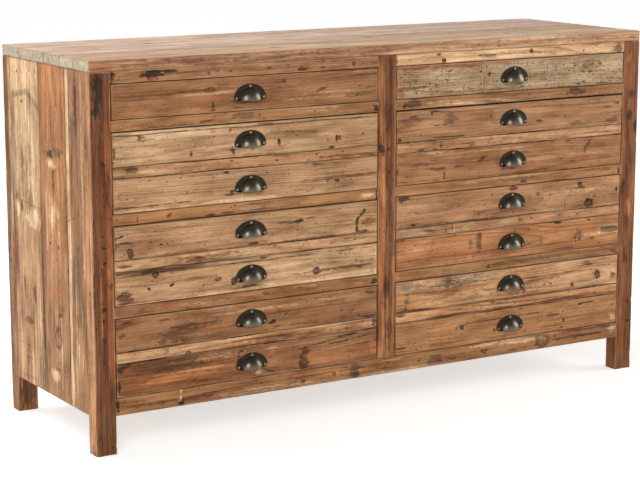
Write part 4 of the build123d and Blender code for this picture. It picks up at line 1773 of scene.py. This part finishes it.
POST_LOOKS = {
    "front_left_post": BoardLook(BARK, 0.92, (
        ink(96.5, 35, 56, 30, 0.75), ink(92.5, 40, 90, 30, 0.7, 12), ink(91, 30, 30, 12, 0.75),
        smoke(94, 70, 44, 8, 0.7, 12), smoke(90, 55, 40, 7, 0.6, -10), smoke(98, 75, 30, 8),
        Band(68, 105, RUST, 0.5, 20, 95), ink(76.5, 62, 7, 16, 0.75, 30), ink(66, 58, 6, 12, 0.75, 20),
        ink(58, 52, 5, 6, 0.7), ink(55, 56, 6, 14, 0.8), ink(51, 60, 6, 14, 0.8),
        ink(45, 85, 12, 12, 0.6, 40), ink(39, 50, 12, 16, 0.75), ink(36, 45, 14, 9, 0.75),
        earth(31, 50, 20, 18), earth(25, 40, 12, 12), smoke(8, 50, 120, 40, 0.35), ink(62, 8, 30, 7),
        *on_face(
            Face.LEFT,
            Band(-10, 110, PALE, 0.3, 0, 105), Band(-10, 110, AMBER, 0.4, 0, 105), rust(81, 55, 9, 14, 0.75),
            plum(43, 40, 12, 16, 0.7), Line(30, 40, 75, 35, 3, 0.4), Line(0, 60, 30, 70, 4, 0.35),
            Specks(26, 10, 98), Line(82, 50, 98, 60, 3, 0.5),
        ),
    )),
    "front_right_post": BoardLook(UMBER, 0.99, (
        ink(84, 55, 30, 26, 0.45), ink(78, 40, 34, 22, 0.5), ink(74.5, 85, 40, 12),
        amber(95, 40, 40, 14, 0.4), amber(50, 55, 60, 30), ink(35, 40, 50, 20, 0.45),
        earth(62, 30, 60, 12, 0.5), ink(21, 70, 30, 12, 0.5), ink(15, 75, 10, 16), smoke(3, 50, 60, 30, 0.4),
        rust(68, 60, 70, 14, 0.45), Band(0, 30, RUST, 0.3), Specks(20, 10, 100, 10, 90, INK),
    )),
    "back_left_post": BoardLook(CHESTNUT, 0.94, (
        *on_face(
            Face.LEFT,
            Band(50, 90, EARTH, 0.5, 10, 80), rust(88, 40, 70, 20, 0.5), plum(55, 50, 120, 22, 0.45),
            Band(-10, 30, PALE, 0.5, 50), rust(30, 40, 90, 16, 0.4), Specks(20, 5, 98),
        ),
        *on_face(Face.FRONT, ink(5, 50, 110, 60, 0.4)),
        earth(70, 50, 90, 20, 0.4), Knot(40, 40, 18, 14), Line(10, 60, 60, 50, 3, 0.5),
    )),
    "back_right_post": BoardLook(CHESTNUT, 1.0, (
        *on_face(
            Face.RIGHT,
            earth(60, 50, 110, 22, 0.4), Knot(75, 50, 16, 13),
        ),
        earth(30, 50, 90, 20, 0.45), Knot(62, 60, 20, 14, INK), Line(15, 40, 70, 50, 3, 0.5),
    ), TAN),
}
LEFT_END_LOOKS = (
    BoardLook(GINGER, 0.84, (
        Band(80, 105, PALE, 0.7), Band(0, 14, PALE, 0.4, 40), earth(88, 40, 130, 16, 0.65),
        smoke(84, 60, 70, 30, 0.5), rust(92, 55, 60, 10, 0.5), Line(55.5, 95, 57.5, 50, 4),
        smoke(40, 50, 200, 80, 0.3), smoke(27, 42, 50, 36, 0.65), smoke(13, 50, 80, 30, 0.3),
        Line(40, 20, 90, 12, 4, 0.45), Line(50, 30, 95, 36, 4, 0.4), Band(30, 70, PALE, 0.3, 0, 20),
        Specks(36, 2, 98, 5, 95),
    ), TAN),
    BoardLook(TAN, 1.0, (
        Band(-10, 110, AMBER, 0.2, 80, 105), ink(73.5, 62, 26, 50), earth(74.5, 30, 30, 60, 0.45),
        bone(71, 60, 24, 70, 0.45), ink(47, 67, 12, 10, 0.85), ink(46.5, 36, 12, 9, 0.8),
        pale(56, 55, 90, 70, 0.4), rust(55, 6, 130, 12, 0.55), rust(48, 12, 90, 12, 0.5),
        rust(28, 30, 22, 60, 0.5, 10), earth(26, 35, 12, 40, 0.6, 10), amber(33, 40, 40, 100, 0.4),
        Knot(19, 45, 60, 40, EARTH, 0.45), bone(7, 60, 40, 60, 0.5), earth(9, 50, 12, 40, 0.5),
        smoke(13, 85, 60, 22, 0.4), Line(62, 20, 72, 24, 3, 0.6, RUST), Line(15, 97, 55, 96, 4, 0.5, PLUM),
        Specks(60, 2, 98, 5, 95), Specks(30, 76, 98, 5, 95, BONE, 0.5),
    ), RUSSET),
    BoardLook(HONEY, 0.98, (
        Band(-10, 110, BONE, 0.3, 55, 105), Band(84, 105, EARTH, 0.45, 30, 90),
        Band(-10, 10, EARTH, 0.3, 0, 90), Line(86, 2, 90.5, 40, 16, 0.5, EARTH, 0.1),
        Line(90.5, 40, 88.5, 95, 16, 0.5, EARTH, 0.1), bone(80, 40, 110, 50, 0.55),
        ink(87.2, 60, 9, 14, 0.75), ink(97, 30, 9, 9), earth(96, 74, 12, 12), earth(97, 12, 12, 8),
        earth(66, 62, 150, 24, 0.45), earth(70, 35, 130, 18, 0.4), ink(66, 48, 90, 8, 0.35),
        plum(55, 68, 44, 14, 0.85), plum(57, 82, 30, 30, 0.4), Line(56.8, 65, 56, 0, 4, 0.65),
        bone(52, 30, 50, 90, 0.75), bone(54, 82, 40, 24), rust(30, 50, 90, 100, 0.25),
        earth(29, 30, 50, 20, 0.45), earth(31, 65, 60, 16, 0.45), smoke(20, 52, 24, 70),
        Line(10, 85, 10, 40, 3, 0.5), Line(12, 90, 12, 50, 3, 0.45), Line(8, 80, 8.5, 35, 3, 0.4),
        rust(2, 60, 12, 120, 0.4), Line(10, 97, 50, 100, 7, 0.6, SMOKE), Specks(70, 2, 98, 5, 95),
    ), STRAW),
)
RIGHT_END_LOOKS = (
    BoardLook(HONEY, 0.98, (
        Knot(66, 50, 24, 18), earth(30, 50, 120, 24, 0.4), Line(5, 30, 60, 35, 3, 0.5),
        Specks(40, 2, 98, 5, 95), Band(70, 100, PALE, 0.35),
    ), TAN),
    BoardLook(TAN, 1.02, (
        Knot(24, 40, 30, 22, PLUM), Knot(83, 65, 18, 14, INK), Saw(40, 62, 10, 90, 0.5),
        rust(50, 30, 160, 30, 0.4), Line(50, 75, 98, 80, 3, 0.5), Specks(50, 2, 98, 5, 95),
    ), HONEY),
    BoardLook(STRAW, 0.96, (
        Knot(50, 70, 26, 20), earth(75, 40, 130, 36, 0.4), smoke(12, 50, 60, 80, 0.45),
        Line(2, 20, 50, 15, 3, 0.5), bone(34, 30, 70, 30, 0.5), Specks(60, 2, 98, 5, 95),
    ), TAN),
)
LIMED_END = Band(-20, 120, LIMED, 0.95, -20, 120, face=Face.LEFT)
TOP_LOOKS = (
    BoardLook(HONEY, 1.0, (
        Knot(33, 50, 34, 22, EARTH, 0.6), earth(62, 40, 200, 30, 0.3), Knot(78, 70, 26, 18, EARTH, 0.6),
        rust(12, 30, 120, 40, 0.3), Specks(60, 2, 98, 5, 95), Line(10, 25, 40, 22, 3, 0.4),
        *on_face(
            Face.FRONT,
            rust(2, 50, 46, 30, 0.75), ink(5.5, 35, 6, 7, 0.8), Knot(23.5, 45, 12, 10), ink(8.5, 85, 22, 7),
            ink(12, 85, 26, 7), ink(34.5, 60, 6, 6, 0.7), ink(37.5, 60, 6, 6, 0.7), ink(43, 60, 6, 6, 0.7),
            smoke(50, 50, 12, 12, 0.7), ink(67, 50, 7, 7), ink(71, 75, 8, 7), ink(71, 25, 8, 7),
            ink(86, 40, 8, 7), ink(91, 50, 8, 7), smoke(98.5, 40, 20, 12), Line(5, 45, 33, 50, 3, 0.5),
            Specks(50), Band(30, 80, SMOKE, 0.3, 50), Band(-10, 110, AMBER, 0.32, -10, 110),
            Band(-10, 110, EARTH, 0.3, -10, 50),
        ),
    ), STRAW),
    BoardLook(ROSE, 1.05, (
        Knot(55, 50, 24, 16, EARTH, 0.5), earth(25, 50, 200, 24, 0.3), Specks(50, 2, 98, 5, 95),
        rust(85, 50, 160, 30, 0.25),
    ), HONEY),
    BoardLook(ROSE, 1.09, (
        Knot(20, 60, 30, 20, EARTH, 0.5), Knot(68, 35, 24, 16, PLUM, 0.5), earth(45, 50, 240, 40, 0.25),
        Specks(70, 2, 98, 5, 95), Line(50, 60, 95, 64, 3, 0.4),
    )),
    BoardLook(ROSE, 1.03, (
        Knot(42, 50, 26, 18, EARTH, 0.5), smoke(75, 50, 200, 30, 0.25), Specks(60, 2, 98, 5, 95),
    )),
)
BACK_TONES = (
    (TAN, 1.0, HONEY), (HONEY, 0.95, TAN), (SAWN, 0.9, TAN),
    (TAN, 1.04, TAN), (HONEY, 0.92, SAWN), (TAN, 0.97, HONEY),
)
BACK_LOOKS = tuple(
    BoardLook(tone, shade, (
        Knot(20 + 9 * number, 62 - 7 * number, 26, 18),
        Knot(83 - 6 * number, 30 + 8 * number, 20, 14, INK, 0.7),
        smoke(50, 50, 260, 60, 0.35),
        Saw(10 + 10 * number, 35 + 10 * number, 5, 95, 0.5),
        Specks(60, 2, 98, 3, 97),
    ), far)
    for number, (tone, shade, far) in enumerate(BACK_TONES)
)
# How far age has planed back the top of each drawer's front, in millimetres.
TOP_GAPS = {
    "left_drawer_1": 0.3, "left_drawer_2": 1.5, "left_drawer_3": 1.6, "left_drawer_4": 0.8,
    "right_drawer_1": 0.4, "right_drawer_2": 2.6, "right_drawer_3": 0.6, "right_drawer_4": 0.9,
}
INSIDE_LOOK = BoardLook(INSIDE)
NODE_STEP, BOARD_STEP = 31, 101


def seed_of(node: str, number: int) -> int:
    """Gives each board of each node a seed of its own."""
    return NODE_STEP * sum(ord(letter) * place for place, letter in enumerate(node, 3)) + BOARD_STEP * number


@dataclass
class BoardSet:
    """A CAD node that is made of boards, dressed as worn boards."""

    node: str
    body: str
    grain: Axis
    main_face: Face
    looks: tuple[BoardLook, ...]
    slot: str
    cut: Cut = Cut()
    plain: tuple[Face, ...] = ()
    weathering: tuple = ()
    joint: float = 0.0
    grooves: dict[int, tuple[Face, float, float, float]] = field(default_factory=dict)
    shaved: dict[Face, float] = field(default_factory=dict)

    def build(self, finish: bpy.types.Material) -> bpy.types.Object:
        """Makes the boards and seats them in the node's place.

        Args:
            finish: the boards' material.

        Returns:
            The new object.
        """
        boards = []
        solids = solids_of(self.node)
        self.shave(solids)
        for number, (low, high) in enumerate(solids):
            look = self.looks[number % len(self.looks)]
            hidden, lines = self.joints(number, len(solids))
            boards.append(Board(
                low, high, self.axis_of(high - low), look, self.main_face, seed_of(self.node, number),
                self.cut, (*self.plain, *hidden), (*self.weathering, *lines), self.grooves.get(number),
            ))
        return seat(join_boards(f"{self.node}_worn", boards, finish), self.body, self.slot, self.node)

    def joints(self, number: int, count: int) -> tuple[list[Face], list[Line]]:
        """Finds the joints that a board shares with its neighbours in the set.

        Args:
            number: the board's place in the set.
            count: how many boards the set has.

        Returns:
            The hidden faces and the dark lines along the joints, or none where the set has no joints.
        """
        signs = [-1] * (number > 0) + [1] * (number < count - 1) if self.joint else []
        across = 3 - self.main_face.value[0] - self.grain.value
        sides = [50 + 50 * sign for sign in signs]
        lines = [Line(-20, side, 120, side, self.joint, 0.8, INK, 0.2) for side in sides]
        return [Face((across, sign)) for sign in signs], lines

    def shave(self, solids: list[tuple[np.ndarray, np.ndarray]]) -> None:
        """Takes the set's outer boards back where age has planed them, to widen the gap beside them.

        Args:
            solids: the boards' lowest and highest corners, which are changed.
        """
        for face, amount in self.shaved.items():
            axis, sign = face.value
            outer = max(sign * (high if sign > 0 else low)[axis] for low, high in solids)
            for low, high in solids:
                edge = high if sign > 0 else low
                if sign * edge[axis] > outer - 0.1:
                    edge[axis] -= sign * amount

    def axis_of(self, size: np.ndarray) -> Axis:
        """Gives the way that a board's grain runs: the set's own, unless the board is short that way.

        Args:
            size: the board's size.

        Returns:
            The grain's axis.
        """
        main = self.main_face.value[0]
        spans = [size[axis] if axis != main else 0.0 for axis in range(3)]
        longest = Axis(int(np.argmax(spans)))
        return longest if spans[self.grain.value] < 0.5 * max(spans) else self.grain


@dataclass
class CaseBody:
    """The fixed case: top, posts, rails, stile, ends, back and what stands inside."""

    finishes: Finishes
    body: str = "case"

    def build(self) -> None:
        """Makes every board of the case."""
        self.build_top()
        self.build_front_frame()
        self.build_ends()
        self.build_back()
        self.build_inside()

    def build_top(self) -> None:
        """Makes the four top planks."""
        weathering = (Streaks(40, 0.32, 800.0), LIMED_END)
        BoardSet("top_planks", self.body, Axis.ACROSS, Face.TOP, TOP_LOOKS, "top_pine",
                 Cut(5.0, 2.6, 2.6, 1.8), (Face.FOOT,), weathering, 4.5).build(self.finishes.pine["top"])

    def build_front_frame(self) -> None:
        """Makes the posts, the stile and the rails between them."""
        dark = (EARTH, INK, RUST, RUST, AMBER)
        for node, look in POST_LOOKS.items():
            face = Face.FRONT if node.startswith("front") else Face.BACK
            side = Face.LEFT if "left" in node else Face.RIGHT
            weathering = (Streaks(14, 0.34, marks=dark), Streaks(18, 0.45, face=side))
            BoardSet(node, self.body, Axis.UP, face, (look,), "frame_pine", Cut(3.4, 2.0, 2.0, 1.6),
                     weathering=weathering).build(self.finishes.pine["frame"])
        BoardSet("centre_stile", self.body, Axis.UP, Face.FRONT, (STILE,), "frame_pine", Cut(arris=1.2),
                 (Face.BACK,), (Streaks(18, 0.4, marks=dark),)).build(self.finishes.pine["frame"])
        rails = {"top_rails": (TOP_LEFT_RAIL, TOP_RIGHT_RAIL), "bottom_rail": (BOTTOM_RAIL,), **RAIL_LOOKS}
        for node, looks in rails.items():
            whole = node == "bottom_rail"
            cut, streaks = (Cut(arris=1.5), Streaks(40, 0.4)) if whole else (Cut(), Streaks(10))
            BoardSet(node, self.body, Axis.ACROSS, Face.FRONT, looks, "frame_pine", cut, (Face.BACK,),
                     (streaks,)).build(self.finishes.pine["front"])

    def build_ends(self) -> None:
        """Makes the upright planks of both ends."""
        for node, face, inner, looks, cut in (
            ("left_side_planks", Face.LEFT, Face.RIGHT, LEFT_END_LOOKS, Cut(3.6, 2.2, arris=1.5)),
            ("right_side_planks", Face.RIGHT, Face.LEFT, RIGHT_END_LOOKS, Cut(4.2, 2.6, arris=1.5)),
        ):
            BoardSet(node, self.body, Axis.UP, face, looks, "side_pine", cut, (inner,),
                     (Streaks(30, 0.4),), 5.0).build(self.finishes.pine["side"])

    def build_back(self) -> None:
        """Makes the back boards and the rails that they are nailed to."""
        BoardSet("back_boards", self.body, Axis.UP, Face.BACK, BACK_LOOKS, "inner_pine",
                 Cut(7.0, 4.5, arris=1.2), (Face.FRONT,), (Streaks(30),),
                 5.0).build(self.finishes.pine["back"])
        BoardSet("back_rails", self.body, Axis.ACROSS, Face.FRONT, (INSIDE_LOOK,), "inner_pine",
                 Cut(20.0, 6.0), (Face.BACK,)).build(self.finishes.pine["inner"])

    def build_inside(self) -> None:
        """Makes the partition, the bottom panel, the runners and the stops."""
        for node, grain, face in (
            ("centre_partition", Axis.DEEP, Face.LEFT),
            ("bottom_panel", Axis.ACROSS, Face.TOP),
            ("left_runners", Axis.DEEP, Face.TOP),
            ("centre_runners", Axis.DEEP, Face.TOP),
            ("right_runners", Axis.DEEP, Face.TOP),
            ("drawer_stops", Axis.DEEP, Face.TOP),
        ):
            BoardSet(node, self.body, grain, face, (INSIDE_LOOK,), "inner_pine",
                     Cut(24.0, 12.0, arris=0.8)).build(self.finishes.pine["inner"])


@dataclass
class Drawer:
    """One drawer: its front boards, its box, its pulls and their screws."""

    name: str
    finishes: Finishes
    pulls: Repeater
    screws: Repeater
    pull: CupPull
    groove_depth: float = 6.0
    top_screw_rise: float = 27.25
    screw_turn_seed: int = 5
    left_gap: float = 1.3
    right_gap: float = 0.4

    def build(self) -> None:
        """Makes the drawer's pieces and seats them on its body."""
        front = f"{self.name}_front"
        shaved = {Face.TOP: TOP_GAPS[self.name], Face.LEFT: self.left_gap, Face.RIGHT: self.right_gap}
        BoardSet(front, self.name, Axis.ACROSS, Face.FRONT, DRAWER_LOOKS[front], "drawer_pine",
                 Cut(2.8, 1.8, arris=1.4), (Face.BACK,), (Streaks(22, 0.26),), 3.0,
                 shaved=shaved).build(self.finishes.pine["front"])
        self.build_box()
        self.build_pulls()

    def build_box(self) -> None:
        """Makes the grooved walls and the bottom that lies in their grooves."""
        foot, head = (solid[2] for solid in solids_of(f"{self.name}_bottom")[0])
        sides = (Face.RIGHT, Face.LEFT, Face.BACK, Face.FRONT)
        grooves = {number: (face, foot, head, self.groove_depth) for number, face in enumerate(sides)}
        BoardSet(f"{self.name}_box", self.name, Axis.DEEP, Face.TOP, (INSIDE_LOOK,), "inner_pine",
                 Cut(24.0, 12.0, arris=0.9), grooves=grooves).build(self.finishes.pine["inner"])
        BoardSet(f"{self.name}_bottom", self.name, Axis.ACROSS, Face.TOP, (INSIDE_LOOK,), "inner_pine",
                 Cut(24.0, 12.0, arris=0.5), (Face.FOOT,)).build(self.finishes.pine["inner"])

    def build_pulls(self) -> None:
        """Sets the pulls where their solids are, and three screws in each."""
        node = f"{self.name}_cup_pulls"
        centres = []
        for low, high in solids_of(node):
            centres.append(((low[0] + high[0]) / 2.0, high[1], high[2] - self.pull.rise))
        seat(self.pulls.place(f"{self.name}_pulls", centres, 0), self.name, "dark_metal", node)
        holes = [(-self.pull.lug_x, 0.0), (self.pull.lug_x, 0.0), (0.0, self.top_screw_rise)]
        places = [(x + across, y - self.pull.flange, z + up) for x, y, z in centres for across, up in holes]
        screws = self.screws.place(f"{self.name}_screws", places, self.screw_turn_seed + len(self.name))
        seat(screws, self.name, "screw_steel", f"{self.name}_pull_screws")


@dataclass
class Studio:
    """The pale floor, the soft lamps, the white surroundings and the camera. Sizes are metres."""

    eye: tuple[float, float, float] = (-2.6220, -4.2090, 1.3434)
    yaw: float = 31.451
    pitch: float = -10.823
    lens: float = 109.49
    sensor: float = 36.0
    sight: float = 200.0
    floor_size: float = 120.0
    floor_near: float = 1.4
    floor_far: float = 5.0

    def build(self) -> None:
        """Makes the whole studio."""
        self.add_floor()
        self.add_world()
        self.add_lamp("key_lamp", (-3.3, -4.0, 2.6), (-0.3, 0.0, 0.4), 2.2, 112.0)
        self.add_lamp("fill_lamp", (4.2, -1.6, 1.9), (0.2, 0.0, 0.5), 2.4, 88.0)
        self.add_lamp("high_lamp", (-1.5, 1.4, 3.2), (-0.4, 0.0, 0.8), 2.4, 110.0)
        self.add_camera()
        bpy.context.scene.view_settings.view_transform = "Standard"

    def add_floor(self) -> None:
        """Makes a wide pale floor that takes the chest's shadow."""
        half = self.floor_size / 2.0
        corners = [(-half, -half, 0.0), (half, -half, 0.0), (half, half, 0.0), (-half, half, 0.0)]
        mesh = bpy.data.meshes.new("studio_floor")
        mesh.from_pydata(corners, [], [(0, 1, 2, 3)])
        material, graph, shader = new_material("floor_white")
        path = graph.node("ShaderNodeLightPath")
        seen = graph.math("MAXIMUM", path.outputs["Is Camera Ray"], path.outputs["Is Glossy Ray"])
        seen = graph.math("MAXIMUM", seen, path.outputs["Is Transmission Ray"])
        place = graph.node("ShaderNodeTexCoord").outputs["Object"]
        reach = graph.node("ShaderNodeVectorMath", {0: place}, operation="LENGTH").outputs["Value"]
        glow = graph.ramp(reach, self.floor_near, self.floor_far, 0.6, 0.85)
        for name, value in {
            "Base Color": (0.8, 0.8, 0.8, 1.0),
            "Roughness": 0.9,
            "Specular IOR Level": 0.0,
            "Emission Color": (1.0, 1.0, 1.0, 1.0),
            "Emission Strength": graph.math("MULTIPLY", seen, glow),
        }.items():
            graph.feed(shader.inputs[name], value)
        mesh.materials.append(material)
        new_object("studio_floor", mesh)

    def add_world(self) -> None:
        """Makes white surroundings that darken overhead."""
        world = bpy.data.worlds.new("studio_world")
        bpy.context.scene.world = world
        world.use_nodes = True
        graph = Graph(world.node_tree)
        background = world.node_tree.nodes["Background"]
        height = graph.split(graph.node("ShaderNodeTexCoord").outputs["Generated"])[2]
        level = graph.ramp(height, 0.05, 0.6, 1.0, 0.06)
        shade = graph.node("ShaderNodeCombineColor", {0: level, 1: level, 2: level})
        graph.feed(background.inputs["Color"], shade.outputs[0])
        graph.feed(background.inputs["Strength"], 1.0)

    def add_lamp(self, name: str, place: tuple[float, float, float], aim: tuple[float, float, float],
                 size: float, power: float) -> None:
        """Adds a square soft lamp.

        Args:
            name: the lamp's name.
            place: where it stands.
            aim: the point that it faces.
            size: its side.
            power: its power in watts.
        """
        lamp = bpy.data.lights.new(name, "AREA")
        lamp.shape = "SQUARE"
        lamp.size = size
        lamp.energy = power
        holder = new_object(name, lamp)
        holder.location = place
        holder.rotation_euler = (Vector(aim) - Vector(place)).to_track_quat("-Z", "Y").to_euler()

    def add_camera(self) -> None:
        """Puts the camera where the photograph was taken from."""
        camera = bpy.data.cameras.new("photo_camera")
        camera.lens = self.lens
        camera.sensor_width = self.sensor
        camera.clip_end = self.sight
        holder = new_object("photo_camera", camera)
        holder.location = self.eye
        holder.rotation_euler = Euler((math.radians(90.0 + self.pitch), 0.0, -math.radians(self.yaw)))
        bpy.context.scene.camera = holder


def main() -> None:
    """Builds the chest from its case to its screws, then the studio."""
    logging.basicConfig(level=logging.INFO, format="%(message)s")
    finishes = Finishes()
    CaseBody(finishes).build()
    tree = repeat_tree()
    pull = CupPull()
    pulls = Repeater(tree, pull.build(), finishes.pull)
    screws = Repeater(tree, SlottedScrew().build(), finishes.screw, math.pi)
    for side in ("left", "right"):
        for row in range(1, 5):
            Drawer(f"{side}_drawer_{row}", finishes, pulls, screws, pull).build()
    for template in (pulls.shape, screws.shape):
        bpy.data.objects.remove(template)
    Studio().build()
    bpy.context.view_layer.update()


if __name__ == "__main__":
    main()
